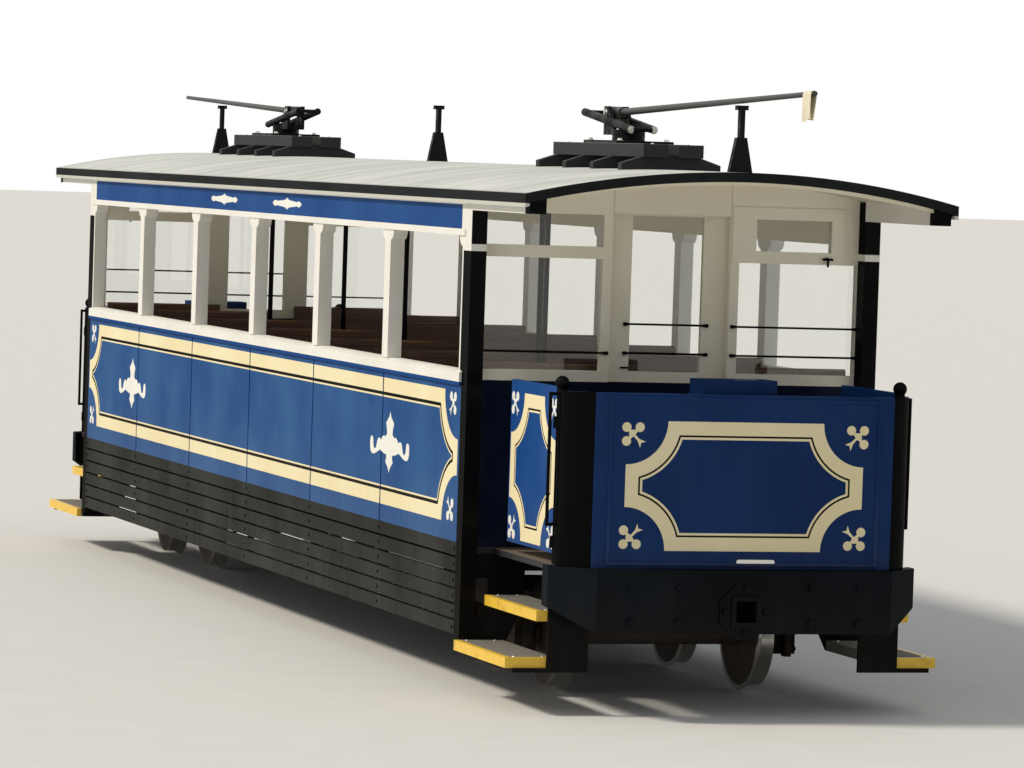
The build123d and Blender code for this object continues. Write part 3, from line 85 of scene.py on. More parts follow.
def reckon(tree, operation, *values, **settings):
    """Adds arithmetic on one to three values."""
    return add(tree, "ShaderNodeMath", dict(enumerate(values)), operation=operation, **settings)


def new_finish(name):
    """A fresh material: its tree, its Principled shader and the place on the object in metres."""
    material = bpy.data.materials.new(name)
    material.use_nodes = True
    tree = material.node_tree
    shader = tree.nodes["Principled BSDF"]
    place = add(tree, "ShaderNodeTexCoord").outputs["Object"]
    return material, tree, shader, place


def studio_floor():
    material, tree, shader, place = new_finish("pale_studio_floor")
    grain = add(tree, "ShaderNodeTexNoise", {"Vector": place, "Scale": 3.0, "Detail": 4.0})
    shade = blend(tree, grain, "DEDDD8", "E6E5E1")
    give(tree, shader, {"Base Color": shade, "Roughness": 0.9})
    mesh = bpy.data.meshes.new("studio_floor")
    reach = 260.0
    corners = [(-reach, -reach, 0), (reach, -reach, 0), (reach, reach, 0), (-reach, reach, 0)]
    mesh.from_pydata(corners, [], [(0, 1, 2, 3)])
    mesh.materials.append(material)
    ground = bpy.data.objects.new("studio_floor", mesh)
    bpy.context.scene.collection.objects.link(ground)


def studio_light():
    world = bpy.data.worlds.new("studio_sky")
    world.use_nodes = True
    tree = world.node_tree
    tree.nodes.clear()
    rays = add(tree, "ShaderNodeLightPath").outputs
    seen = rays["Is Camera Ray"]
    for ray in ("Is Glossy Ray", "Is Transmission Ray"):
        seen = reckon(tree, "MAXIMUM", seen, rays[ray])
    lit = add(tree, "ShaderNodeBackground", {"Color": linear("F4F7FC"), "Strength": 0.4})
    backdrop = add(tree, "ShaderNodeBackground", {"Color": (1, 1, 1, 1), "Strength": 1.0})
    mixed = add(tree, "ShaderNodeMixShader", {0: seen, 1: lit, 2: backdrop})
    add(tree, "ShaderNodeOutputWorld", {"Surface": mixed})
    bpy.context.scene.world = world
    lamp = bpy.data.lights.new("key_lamp", "SUN")
    lamp.energy = 2.5
    lamp.angle = math.radians(8)
    lamp.color = linear("FFF6E8")[:3]
    key = bpy.data.objects.new("key_lamp", lamp)
    key.rotation_mode = "QUATERNION"
    key.rotation_quaternion = Vector((-0.2, -1.0, 0.95)).to_track_quat("Z", "Y")
    bpy.context.scene.collection.objects.link(key)


studio_floor()
studio_light()


def finish_node(names, material):
    """Puts one finish on CAD nodes."""
    for name in names:
        mesh = NODES[name].data
        mesh.materials.clear()
        mesh.materials.append(material)


def both(pattern):
    """The node names of a piece at the downhill and the uphill end."""
    return [pattern.format(end) for end in ("down", "up")]


def outward(mesh):
    """Merges doubles and turns every face outwards."""
    work = bmesh.new()
    work.from_mesh(mesh)
    bmesh.ops.remove_doubles(work, verts=work.verts, dist=1e-6)
    bmesh.ops.recalc_face_normals(work, faces=work.faces)
    work.to_mesh(mesh)
    work.free()


def new_piece(name, points, faces, material, body, smooth=False):
    """A mesh piece in the car's own frame that rides on a body."""
    mesh = bpy.data.meshes.new(name)
    mesh.from_pydata(points, [], faces)
    mesh.materials.append(material)
    outward(mesh)
    if smooth:
        mesh.shade_smooth()
    piece = bpy.data.objects.new(name, mesh)
    bpy.context.scene.collection.objects.link(piece)
    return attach(piece, body)


# Wheelsets: rolled steel tyres and forged centres on an axle, pressed on and turned.
# The treads are polished by the rail; the rest is dull brown with brake dust and old grease.
END_SIGNS = {"down": 1, "up": -1}
BOGIE_X = 3.675
HALF_WHEELBASE = 0.585
WHEEL_X = {"outer": BOGIE_X + HALF_WHEELBASE, "inner": BOGIE_X - HALF_WHEELBASE}
TREAD_RADIUS = 0.280
AXLE_Z = RAIL_TOP + TREAD_RADIUS


def wheel_steel(name, x):
    material, tree, shader, place = new_finish(name)
    centred = add(tree, "ShaderNodeVectorMath", {0: place, 1: (x, 0, AXLE_Z)}, operation="SUBTRACT")
    flat = add(tree, "ShaderNodeVectorMath", {0: centred, 1: (1, 0, 1)}, operation="MULTIPLY")
    radius = add(tree, "ShaderNodeVectorMath", {0: flat}, operation="LENGTH")
    rim = {"Value": radius, 1: TREAD_RADIUS - 0.004, 2: TREAD_RADIUS - 0.001}
    polished = add(tree, "ShaderNodeMapRange", rim)
    dust = add(tree, "ShaderNodeTexNoise", {"Vector": place, "Scale": 22.0, "Detail": 8.0, "Roughness": 0.7})
    dull = blend(tree, dust, "2A2522", "54483D")
    colour = blend(tree, polished, dull, "B9B6B0")
    rough = add(tree, "ShaderNodeMapRange", {"Value": polished, 3: 0.78, 4: 0.24})
    bump = add(tree, "ShaderNodeBump", {"Height": dust, "Strength": 0.25, "Distance": 0.002})
    give(tree, shader, {"Base Color": colour, "Metallic": polished, "Roughness": rough, "Normal": bump})
    return material


for end, sign in END_SIGNS.items():
    for position, x in WHEEL_X.items():
        steel = wheel_steel(f"forged_steel_{end}_{position}", sign * x)
        finish_node([f"wheelset_{end}_{position}"], steel)


# Bogies: a riveted plate frame with cast axleboxes and laminated springs, all painted black once.
# Road dust and rust have browned the paint, most of all low down.
LEAST_RUST_Z = 0.62
MOST_RUST_Z = 0.12


def underside_iron(name, fresh, rusty, patch_mm, roughness):
    material, tree, shader, place = new_finish(name)
    blots = {"Vector": place, "Scale": 1000 / patch_mm, "Detail": 9.0, "Roughness": 0.68}
    patches = add(tree, "ShaderNodeTexNoise", blots)
    share = add(tree, "ShaderNodeMapRange", {"Value": patches, 1: 0.42, 2: 0.66})
    height = add(tree, "ShaderNodeSeparateXYZ", {0: place}).outputs["Z"]
    low = add(tree, "ShaderNodeMapRange", {"Value": height, 1: LEAST_RUST_Z, 2: MOST_RUST_Z, 3: 0.25, 4: 1.0})
    rust = reckon(tree, "MULTIPLY", share, low)
    colour = blend(tree, rust, fresh, rusty)
    rough = add(tree, "ShaderNodeMapRange", {"Value": share, 3: roughness, 4: 0.85})
    pits = add(tree, "ShaderNodeTexNoise", {"Vector": place, "Scale": 160.0, "Detail": 4.0})
    bump = add(tree, "ShaderNodeBump", {"Height": pits, "Strength": 0.3, "Distance": 0.0015})
    give(tree, shader, {"Base Color": colour, "Roughness": rough, "Normal": bump, "Specular IOR Level": 0.1})
    return material


CAST_IRON = underside_iron("painted_cast_iron", "1B1B1C", "4A3B2F", 70, 0.55)
SPRING_STEEL = underside_iron("oiled_spring_steel", "2A2624", "5A4636", 40, 0.42)
finish_node(both("bogie_frame_{}") + both("axleboxes_{}"), CAST_IRON)
finish_node(both("leaf_springs_{}"), SPRING_STEEL)

# Underframe: rolled channel sills and pressed crossbearers, riveted up and painted black.
# It is seen only from below and past the skirts, under a skin of road dirt.
SILL_STEEL = underside_iron("painted_channel_steel", "17181A", "3E342B", 120, 0.5)
finish_node(["solebars", "centre_sills", "crossbearers", "body_bolsters"], SILL_STEEL)


# Floor: tongued softwood boards laid along the car, oiled, and greyed by feet.
# Each board has its own shade and the joints between them are dark with dirt.
JOINT_MM = 3
GRAIN_ALONG = 6.0


def drawn_out(tree, place, scales, detail, **more):
    """Noise drawn out into streaks: scales are its changes in a metre along X, Y and Z."""
    drawn = add(tree, "ShaderNodeVectorMath", {0: place, 1: scales}, operation="MULTIPLY")
    return add(tree, "ShaderNodeTexNoise", {"Vector": drawn, "Scale": 1.0, "Detail": detail, **more})


def laid_side_by_side(tree, place, axis, width_mm):
    """Counts boards or cloths along an axis, and says how near their joints a place is: 0.5 is at one."""
    along = add(tree, "ShaderNodeSeparateXYZ", {0: place}).outputs[axis]
    count = reckon(tree, "MULTIPLY", along, 1000 / width_mm)
    share = reckon(tree, "FRACT", count)
    edge = reckon(tree, "SUBTRACT", share, 0.5)
    return count, reckon(tree, "ABSOLUTE", edge)


def worn_boards(name, light, dark, board_mm, across, grain_mm=9.0, roughness=0.62):
    material, tree, shader, place = new_finish(name)
    count, edge = laid_side_by_side(tree, place, across, board_mm)
    number = reckon(tree, "FLOOR", count)
    board = add(tree, "ShaderNodeTexWhiteNoise", {"W": number}, noise_dimensions="1D")
    scales = {"X": GRAIN_ALONG, "Y": GRAIN_ALONG, "Z": GRAIN_ALONG}
    scales[across] = 1000 / grain_mm
    grain = drawn_out(tree, place, tuple(scales.values()), 8.0, Distortion=0.6)
    mixed = reckon(tree, "MULTIPLY", grain, 0.75)
    tone = reckon(tree, "MULTIPLY_ADD", board, 0.35, mixed)
    wood = blend(tree, tone, dark, light)
    joint = add(tree, "ShaderNodeMapRange", {"Value": edge, 1: 0.5 - JOINT_MM / board_mm, 2: 0.5})
    colour = blend(tree, joint, wood, "14100D")
    depth = reckon(tree, "MULTIPLY_ADD", joint, -1.0, grain)
    bump = add(tree, "ShaderNodeBump", {"Height": depth, "Strength": 0.5, "Distance": 0.002})
    give(tree, shader, {"Base Color": colour, "Roughness": roughness, "Normal": bump})
    return material


def repaint(material, code, rules, mask=None):
    """Lays a second colour where all rules hold: (axis, metres from the origin, whether further out)."""
    tree = material.node_tree
    shader = tree.nodes["Principled BSDF"]
    place = add(tree, "ShaderNodeTexCoord").outputs["Object"]
    for axis, limit, further in rules:
        along = add(tree, "ShaderNodeSeparateXYZ", {0: place}).outputs[axis]
        reach = reckon(tree, "ABSOLUTE", along)
        kind = "GREATER_THAN" if further else "LESS_THAN"
        rule = reckon(tree, kind, reach, limit)
        mask = rule if mask is None else reckon(tree, "MULTIPLY", mask, rule)
    under = shader.inputs["Base Color"].links[0].from_socket
    colour = blend(tree, mask, under, code)
    give(tree, shader, {"Base Color": colour})
    return material


FLOOR_TOP = RAIL_TOP + 0.746
FLOOR_BOARDS = worn_boards("worn_pine_boards", "8A7A66", "4F4437", 110, "Y")
finish_node(["floor"], repaint(FLOOR_BOARDS, "15161A", [("Z", FLOOR_TOP - 0.001, False)]))

# Door runners: steel strips fixed across the floor, on which the saloon doors slide.
# Sliding keeps them bright and scratches them lengthways.
runner, tree, shader, place = new_finish("bright_worn_steel_strip")
scratches = drawn_out(tree, place, (900.0, 6.0, 900.0), 5.0)
rough = add(tree, "ShaderNodeMapRange", {"Value": scratches, 3: 0.22, 4: 0.5})
give(tree, shader, {"Metallic": 1.0, "Base Color": linear("A7A39C"), "Roughness": rough})
finish_node(["door_runners"], runner)


# Body: ash framing with panels, all brush-painted in gloss coach paint and varnished over the livery.
# Long sun has faded it unevenly, and dust lies on it low down; brush marks run along the boards.
DUSTIEST_Z = 0.35


def coach_paint(name, colours, brush=(3.0, 3.0, 160.0), gloss=0.3, dust="8E8570", dust_top=1.15):
    """colours is a table of (height where the colour starts, fresh colour, faded colour), lowest first."""
    material, tree, shader, place = new_finish(name)
    height = add(tree, "ShaderNodeSeparateXYZ", {0: place}).outputs["Z"]
    fading = add(tree, "ShaderNodeTexNoise", {"Vector": place, "Scale": 1.7, "Detail": 5.0})
    faded = add(tree, "ShaderNodeMapRange", {"Value": fading, 1: 0.36, 2: 0.68})
    colour = None
    for start, fresh, pale in colours:
        tone = blend(tree, faded, fresh, pale)
        if colour is None:
            colour = tone
            continue
        above = reckon(tree, "GREATER_THAN", height, start)
        colour = blend(tree, above, colour, tone)
    streaks = drawn_out(tree, place, (14.0, 14.0, 2.2), 7.0)
    low = add(tree, "ShaderNodeMapRange", {"Value": height, 1: dust_top, 2: DUSTIEST_Z, 3: 0.03, 4: 0.34})
    film = reckon(tree, "MULTIPLY", streaks, low)
    dusty = blend(tree, film, colour, dust)
    rough = add(tree, "ShaderNodeMapRange", {"Value": film, 2: 0.25, 3: gloss, 4: gloss + 0.4})
    marks = drawn_out(tree, place, brush, 6.0)
    bump = add(tree, "ShaderNodeBump", {"Height": marks, "Strength": 0.12, "Distance": 0.0012})
    give(tree, shader, {"Base Color": dusty, "Roughness": rough, "Normal": bump})
    give(tree, shader, {"Specular IOR Level": 0.0, "Coat Weight": 0.07, "Coat Roughness": 0.12})
    return material


BLUE = (0.0, "1A4786", "275390")
# A darker copy of the blue: painted shade for the dashes, their mouldings and the brake stands on the shaded
# platforms.
PAINTED_SHADE_BLUE = (0.0, "122E5E", "18386B")
WHITE = (0.0, "E9E8E0", "F2F1EB")
BLACK = (0.0, "08090A", "101113")
GLOSS_BLUE = coach_paint("gloss_blue_coach_paint", [BLUE])
GLOSS_WHITE = coach_paint("gloss_white_coach_paint", [WHITE])
GRIME = "37332C"
GLOSS_BLACK = coach_paint("gloss_black_coach_paint", [BLACK], dust=GRIME)
# The brake stands' blue is darkened with painted shade.
finish_node(["brake_stands"], coach_paint("shade_darkened_blue_on_brake_stands", [PAINTED_SHADE_BLUE]))
PANEL_BLUE = coach_paint("gloss_blue_on_side_panels", [(0.0, "254F88", "356094")])
SIDE_FACE = 1.150
SIDE_SKIN = SIDE_FACE - 0.0005
LINING_FACE = 1.1
VARNISHED_LINING = "5B3F29"
finish_node(["side_walls"], repaint(PANEL_BLUE, VARNISHED_LINING, [("Y", LINING_FACE, False)]))
GATES = [f"gate_{end}_{side}" for end in END_SIGNS for side in ("left", "right")]
GATE_EYES_X = 5.382
finish_node(GATES, repaint(GLOSS_BLUE, BLACK[1], [("X", GATE_EYES_X, True)]))
SILL_BOTTOM = RAIL_TOP + 1.619
finish_node(["waist_rails"], repaint(GLOSS_WHITE, BLUE[1], [("Z", SILL_BOTTOM, False)]))
UPRIGHT_BRUSH = (160.0, 160.0, 3.0)
BAND_BOTTOM = RAIL_TOP + 2.312
PILLAR_PAINT = coach_paint("gloss_white_on_upright_ash", [WHITE], brush=UPRIGHT_BRUSH)
END_PILLARS = [("X", 4.365, True), ("Y", SIDE_SKIN, True), ("Z", BAND_BOTTOM, False)]
finish_node(["pillars"], repaint(PILLAR_PAINT, BLACK[1], END_PILLARS))
finish_node(["gate_posts", "step_hangers"], GLOSS_BLACK)

# Letterboard: the rail and the cove are white and the long board between them is blue.
# Its back is the cream of the saloon ceiling.
CREAM = (0.0, "F1EAD2", "F6F1DF")
BOARD_BOTTOM = RAIL_TOP + 2.424
BOARD_TOP = RAIL_TOP + 2.553
BOARD_END = 4.322
LETTERBOARD = [WHITE, (BOARD_BOTTOM, *BLUE[1:]), (BOARD_TOP, *WHITE[1:])]
LETTERBOARD_PAINT = coach_paint("blue_and_white_letterboard", LETTERBOARD)
repaint(LETTERBOARD_PAINT, WHITE[1], [("X", BOARD_END, True)])
finish_node(["letterboards"], repaint(LETTERBOARD_PAINT, CREAM[1], [("Y", LINING_FACE, False)]))

# Corner posts: black from the steps to the roof, with one white band near the head.
# Above the band the side of the post is white too, as the letterboard beside it is.
BAND_WIDTH = 0.036
BAND = [BLACK, (BAND_BOTTOM, *WHITE[1:]), (BAND_BOTTOM + BAND_WIDTH, *BLACK[1:])]
POST_PAINT = coach_paint("black_post_with_white_band", BAND, brush=UPRIGHT_BRUSH, dust=GRIME)
POST_HEAD = [("Y", SIDE_SKIN, True), ("Z", BAND_BOTTOM, True)]
finish_node(["corner_posts"], repaint(POST_PAINT, WHITE[1], POST_HEAD))


# Bulkheads and sliding doors: boards and framing, cream over a dark blue dado, with black guard rails.
# The rails are forged bars on feet, so everything that stands proud of the boards is black.
DADO = [(0.0, "0C182F", "13213D"), (RAIL_TOP + 1.632, "F3EEDB", "F8F5E8")]
GUARDS_BELOW = 2.1
BULKHEAD_FACE = 4.398
DOOR_FACE = 4.334
PROUD = 0.0006


def bulkhead_paint(name, face_x):
    material = coach_paint(name, DADO, brush=UPRIGHT_BRUSH, dust_top=0.9)
    return repaint(material, "0E0E10", [("X", face_x + PROUD, True), ("Z", GUARDS_BELOW, False)])


finish_node(["bulkheads"], bulkhead_paint("cream_and_blue_bulkhead", BULKHEAD_FACE))
finish_node(both("saloon_door_{}"), bulkhead_paint("cream_and_blue_door", DOOR_FACE))

# Glass: flat drawn sheet, a little green, with a trace of dust.
# It is thin enough to see through without bending what is behind it.
pane, tree, shader, place = new_finish("drawn_sheet_glass")
dirt = add(tree, "ShaderNodeTexNoise", {"Vector": place, "Scale": 9.0, "Detail": 6.0})
rough = add(tree, "ShaderNodeMapRange", {"Value": dirt, 1: 0.45, 2: 0.8, 3: 0.0, 4: 0.03})
give(tree, shader, {"Base Color": linear("FAFDFC"), "Transmission Weight": 1.0, "Roughness": rough})
give(tree, shader, {"IOR": 1.5, "Specular IOR Level": 0.15})
finish_node(["bulkhead_glass"] + both("door_glass_{}"), pane)

# Dashes: sheet steel bent round the platform under a timber rail, blue in front, black round the corners.
# The blue is darkened with painted shade.
# The headstock under each is a plated oak beam, near-black under road dust, whose pocket takes a drawbar.
# The dash's blue is darkened with painted shade; the black at the corners is the dash's own colour.
DASH_PAINT = coach_paint("shade_darkened_blue_and_black_dash_enamel", [PAINTED_SHADE_BLUE], dust_top=0.9)
DASH_CORNER = 0.812
finish_node(["dashes"], repaint(DASH_PAINT, BLACK[1], [("Y", DASH_CORNER, True)]))
BEAM_BLACK = (0.0, "0A0E14", "131920")
BEAM_PAINT = coach_paint("black_buffer_beam_paint", [BEAM_BLACK], gloss=0.5, dust="3B362E", dust_top=0.8)
finish_node(["headstocks"], BEAM_PAINT)


# Livery: scalloped cream bands round a black line, and small ornaments, brushed over the blue by hand.
# The paint lies a hair proud of the panels and stops at the joints between them.
PAINT_TOP = 0.0008
PAINT_BASE = -0.0004
ARC_STEPS = 12
BOTH = (-1, 1)


def outline(half, notch, inset, cuts, gap):
    """A panel's outline at an inset, as (across, up) points: arcs at its corners and points at the cuts."""
    radius = notch + inset
    turn = math.asin(inset / radius)
    corner = [turn + (math.pi / 2 - 2 * turn) * step / ARC_STEPS for step in range(ARC_STEPS + 1)]
    quarter = [(place, half[1] - inset) for cut in cuts for place in (cut - gap, cut + gap) if place > 0]
    quarter += [(half[0] - radius * math.cos(a), half[1] - radius * math.sin(a)) for a in corner]
    back = quarter[::-1]
    return quarter + [(u, -v) for u, v in back] + [(-u, -v) for u, v in quarter] + [(-u, v) for u, v in back]


def band(half, notch, outer, inner, cuts=(), gap=0.0105):
    """The points and faces of a band between two insets, left open at the cuts."""
    rings = [outline(half, notch, inset, cuts, gap) for inset in (outer, inner)]
    count = len(rings[0])
    faces = []
    for i in range(count):
        j = (i + 1) % count
        middle = abs(rings[0][i][0] + rings[0][j][0]) / 2
        level = rings[0][i][1] == rings[0][j][1] and abs(rings[0][i][0] - rings[0][j][0]) < 2.01 * gap
        if not (level and any(abs(middle - cut) < gap for cut in cuts)):
            faces.append((i, j, count + j, count + i))
    return rings[0] + rings[1], faces


def one_face(loop, middle):
    """A flat shape of one face, from a loop of points in millimetres round its middle."""
    points = [(middle[0] + u / 1000, middle[1] + v / 1000) for u, v in loop]
    return points, [tuple(range(len(points)))]


def trefoil(middle, heading):
    """A three-lobed ornament whose forked stalk points along the heading."""
    stalk = [(6, 10), (7, 42), (22, 76), (0, 62), (-22, 76), (-7, 42), (-6, 10)]
    sweep = [math.radians(166 - 332 * step / 12) for step in range(13)]
    lobe = [(25 * math.sin(a), 50 + 25 * math.cos(a)) for a in sweep]
    loop = []
    for arm, edge in enumerate((stalk, lobe, lobe, lobe)):
        turn = heading + math.pi / 2 * arm
        along = (math.cos(turn), math.sin(turn))
        right = (along[1], -along[0])
        loop += [(right[0] * s + along[0] * t, right[1] * s + along[1] * t) for s, t in edge]
    return one_face(loop, middle)


def fleuron(middle):
    """A flower with a spike above and below, and to each side two petals and an arm that turns up."""
    curl = [math.radians(180 - 180 * step / 8) for step in range(9)]
    right = [(0, 186), (18, 158), (78, 122), (60, 92), (52, 62), (84, 44), (116, 49), (148, 38)]
    right += [(168, 20), (196, 30), (226, 28), (246, 8), (262, -24), (282, -36), (304, -34), (318, -20)]
    right += [(354 + 31 * math.cos(a), 2 + 31 * math.sin(a)) for a in curl]
    right += [(384, -24), (374, -50), (348, -64), (312, -66), (270, -58), (226, -46), (180, -34)]
    right += [(140, -44), (104, -50), (60, -54), (56, -72), (72, -94), (20, -126), (0, -152)]
    return one_face(right + [(-u, v) for u, v in right[-2:0:-1]], middle)


def painted(name, shapes, lays, material, body, proud=PAINT_TOP):
    """Thin closed skins of paint; each lay puts a shape's (across, up, lift) in the car."""
    points, faces = [], []
    for lay in lays:
        for flat, sides in shapes:
            start, count = len(points), len(flat)
            points += [lay(u, v, lift) for lift in (proud, PAINT_BASE) for u, v in flat]
            rim = set()
            for side in sides:
                faces.append([start + i for i in side])
                faces.append([start + count + i for i in reversed(side)])
                for i, j in zip(side, side[1:] + side[:1]):
                    rim.symmetric_difference_update({(min(i, j), max(i, j))})
            faces += [[start + i, start + j, start + count + j, start + count + i] for i, j in rim]
    return new_piece(name, points, faces, material, body)


SIGN_CREAM = coach_paint("cream_lining_enamel", [(0.0, "EFE2B6", "F4E9C4")])
SIGN_WHITE = coach_paint("white_ornament_enamel", [(0.0, "ECECE4", "F4F3EC")])
SIGN_BLACK = coach_paint("black_lining_enamel", [BLACK])
BAY = 1.466
DASH_FACE = 5.635
GATE_FACE = 0.940
GATE_MIDDLE = 5.018
SIDE_PANEL_Z = RAIL_TOP + 1.218
DASH_PANEL_Z = RAIL_TOP + 1.167
GATE_PANEL_Z = RAIL_TOP + 1.204


def on_side(sign, z):
    return lambda u, v, lift: (u, sign * (SIDE_FACE + lift), z + v)


def on_dash(sign, z):
    return lambda u, v, lift: (sign * (DASH_FACE + lift), u, z + v)


def on_gate(end, side):
    return lambda u, v, lift: (end * GATE_MIDDLE + u, side * (GATE_FACE + lift), GATE_PANEL_Z + v)


def lining(half, notch, insets, cuts=()):
    """The cream bands and the black line between them: insets are the edges from the outside inwards."""
    cream = [band(half, notch, *insets[:2], cuts), band(half, notch, *insets[2:], cuts)]
    return cream, [band(half, notch, *insets[1:3], cuts)]


def corner_ornaments(reach):
    return [trefoil((u * reach[0], v * reach[1]), math.atan2(-v, -u)) for u in BOTH for v in BOTH]


SIDES = [on_side(sign, SIDE_PANEL_Z) for sign in BOTH]
cream, black = lining((4.370, 0.350), 0.255, (0.0, 0.078, 0.096, 0.106), (0.0, BAY, 2 * BAY))
painted("side_cream_bands", cream, SIDES, SIGN_CREAM, "car")
painted("side_black_lines", black, SIDES, SIGN_BLACK, "car")
FLOWER = (3.090, -0.018)
flowers = [fleuron((sign * FLOWER[0], FLOWER[1])) for sign in BOTH]
painted("side_ornaments", corner_ornaments((4.267, 0.282)) + flowers, SIDES, SIGN_WHITE, "car")
ENDS = [on_dash(sign, DASH_PANEL_Z) for sign in BOTH]
cream, black = lining((0.645, 0.330), 0.222, (0.0, 0.070, 0.080, 0.092))
cream += corner_ornaments((0.610, 0.262))
painted("dash_cream_bands_and_ornaments", cream, ENDS, SIGN_CREAM, "car")
painted("dash_black_lines", black, ENDS, SIGN_BLACK, "car")
cream, black = lining((0.382, 0.384), 0.214, (0.0, 0.072, 0.082, 0.092))
for end, along in END_SIGNS.items():
    for side, across in (("left", -1), ("right", 1)):
        body = f"gate_{end}_{side}"
        leaf = [on_gate(along, across)]
        painted(f"{body}_cream_bands", cream, leaf, SIGN_CREAM, body)
        painted(f"{body}_black_line", black, leaf, SIGN_BLACK, body)
        painted(f"{body}_ornaments", corner_ornaments((0.325, 0.325)), leaf, SIGN_WHITE, body)

# Letterboard lozenges: long pointed shapes in the same white enamel, one each side of the middle.
# They are painted on the blue of both boards.
LOZENGE = [(-330, 0), (-300, -14), (-262, -18), (-220, -12), (-150, -17), (-90, -19), (-36, -24), (0, -35)]
LOZENGE += [(-u, v) for u, v in LOZENGE[-2:0:-1]]
LOZENGE += [(-u, -v) for u, v in LOZENGE]
LOZENGE_X = 0.755
LOZENGE_Z = RAIL_TOP + 2.490
lozenges = [one_face(LOZENGE, (sign * LOZENGE_X, 0)) for sign in BOTH]
boards = [on_side(sign, LOZENGE_Z) for sign in BOTH]
painted("letterboard_lozenges", lozenges, boards, SIGN_WHITE, "car")

# Dash moulding: a half-round hardwood bead mitred round the front panel, in the same blue with painted shade.
# Under it a bright steel hasp at each end holds the panel's foot to the headstock.
BEAD_HALF = 0.011
BEAD_RISE = 0.009
ARC = [math.pi * step / 6 for step in range(7)]
BEAD = [(BEAD_HALF * math.cos(a), BEAD_RISE * math.sin(a)) for a in ARC]
BEAD_LINE = (0.727, 0.4215)
MOULDING_Z = RAIL_TOP + 1.1885


def mitred(name, half, section, lays, material, body):
    """A mitred moulding round a panel: its section is a table of (out from the line, proud of the face)."""
    section = section + [(section[-1][0], PAINT_BASE), (section[0][0], PAINT_BASE)]
    points, faces = [], []
    for lay in lays:
        start = len(points)
        for u, v in ((1, 1), (-1, 1), (-1, -1), (1, -1)):
            points += [lay(u * (half[0] + out), v * (half[1] + out), proud) for out, proud in section]
        count = len(section)
        for corner in range(4):
            for i in range(count):
                j = (i + 1) % count
                a, b = start + corner * count, start + (corner + 1) % 4 * count
                faces.append((a + i, a + j, b + j, b + i))
    return new_piece(name, points, faces, material, body)


MOULDED = [on_dash(sign, MOULDING_Z) for sign in BOTH]
MOULDING_PAINT = coach_paint("shade_darkened_blue_on_moulding", [PAINTED_SHADE_BLUE])
mitred("dash_mouldings", BEAD_LINE, BEAD, MOULDED, MOULDING_PAINT, "car")


def bright_steel(name, code):
    material, tree, shader, place = new_finish(name)
    tarnish = add(tree, "ShaderNodeTexNoise", {"Vector": place, "Scale": 120.0, "Detail": 6.0})
    rough = add(tree, "ShaderNodeMapRange", {"Value": tarnish, 3: 0.25, 4: 0.6})
    give(tree, shader, {"Metallic": 1.0, "Base Color": linear(code), "Roughness": rough})
    return material


def rounded_bar(middle, half):
    """A flat bar with half-round ends."""
    ends = [math.radians(-90 + 180 * step / 8) for step in range(9)]
    right = [(half[0] - half[1] + half[1] * math.cos(a), half[1] * math.sin(a)) for a in ends]
    points = right + [(-u, -v) for u, v in right]
    return [(middle[0] + u, middle[1] + v) for u, v in points], [tuple(range(len(points)))]


HASP = [rounded_bar((0.072, -0.4055), (0.104, 0.012))]
HASP_ENDS = [MOULDED[1], lambda u, v, lift: MOULDED[0](-u, v, lift)]
HASP_STEEL = bright_steel("bright_worn_hasp_steel", "D2D0CA")
painted("dash_hasps", HASP, HASP_ENDS, HASP_STEEL, "car", proud=0.005)


# Turned knobs: steel balls screwed on the gate posts and on the ends of the guard rails.
# Each is turned with its neck in one piece and painted gloss black.
def turned(name, profile, places, sides, material, body):
    """Turned pieces on upright axes: the profile is a table of (radius, height) from foot to top."""
    points, faces = [], []
    for x, y, z in places:
        for radius, height in profile:
            start = len(points)
            if radius == 0:
                points.append((x, y, z + height))
            else:
                turns = [2 * math.pi * step / sides for step in range(sides)]
                points += [(x + radius * math.cos(a), y + radius * math.sin(a), z + height) for a in turns]
            if (radius, height) != profile[0]:
                size, under = len(points) - start, start - before
                for i in range(sides):
                    j = (i + 1) % sides
                    low = [before + i % under, before + j % under]
                    high = [start + j % size, start + i % size]
                    faces.append(list(dict.fromkeys(low + high)))
            before = start
    return new_piece(name, points, faces, material, body, smooth=True)


def ball(radius, neck):
    """The profile of a ball on a collar."""
    sweep = [math.radians(-58 + 148 * step / 9) for step in range(10)]
    foot = -radius - 0.3 * neck
    collar = [(0, foot), (neck, foot), (1.15 * neck, -radius), (neck, -0.9 * radius)]
    arc = [(radius * math.cos(a), radius * math.sin(a)) for a in sweep[:-1]]
    return collar + arc + [(0, radius)]


KNOB_STEEL = coach_paint("black_enamel_on_turned_steel", [BLACK], gloss=0.22, dust=GRIME)
GATE_POST = (5.414, 0.924)
KNOB_Z = 1.697
knobs = [(x * GATE_POST[0], y * GATE_POST[1], KNOB_Z) for x in BOTH for y in BOTH]
turned("gate_post_knobs", ball(0.0365, 0.026), knobs, 24, KNOB_STEEL, "car")
GUARD_KNOB = ball(0.0105, 0.004)
GUARD_RAILS_Z = (1.812, 1.967)
WINDOW_GUARD_END = (4.406, 0.352)
DOOR_GUARD_END = (4.342, 0.232)
guard_ends = []
for x in BOTH:
    for side, heights in ((-1, GUARD_RAILS_Z), (1, GUARD_RAILS_Z[:1])):
        guard_ends += [(x * WINDOW_GUARD_END[0], x * side * -WINDOW_GUARD_END[1], z) for z in heights]
turned("window_guard_knobs", GUARD_KNOB, guard_ends, 16, KNOB_STEEL, "car")
for end, x in END_SIGNS.items():
    door_ends = [(x * DOOR_GUARD_END[0], y * DOOR_GUARD_END[1], z) for y in (1, -1) for z in GUARD_RAILS_Z]
    turned(f"door_{end}_guard_knobs", GUARD_KNOB, door_ends, 16, KNOB_STEEL, f"door_{end}")


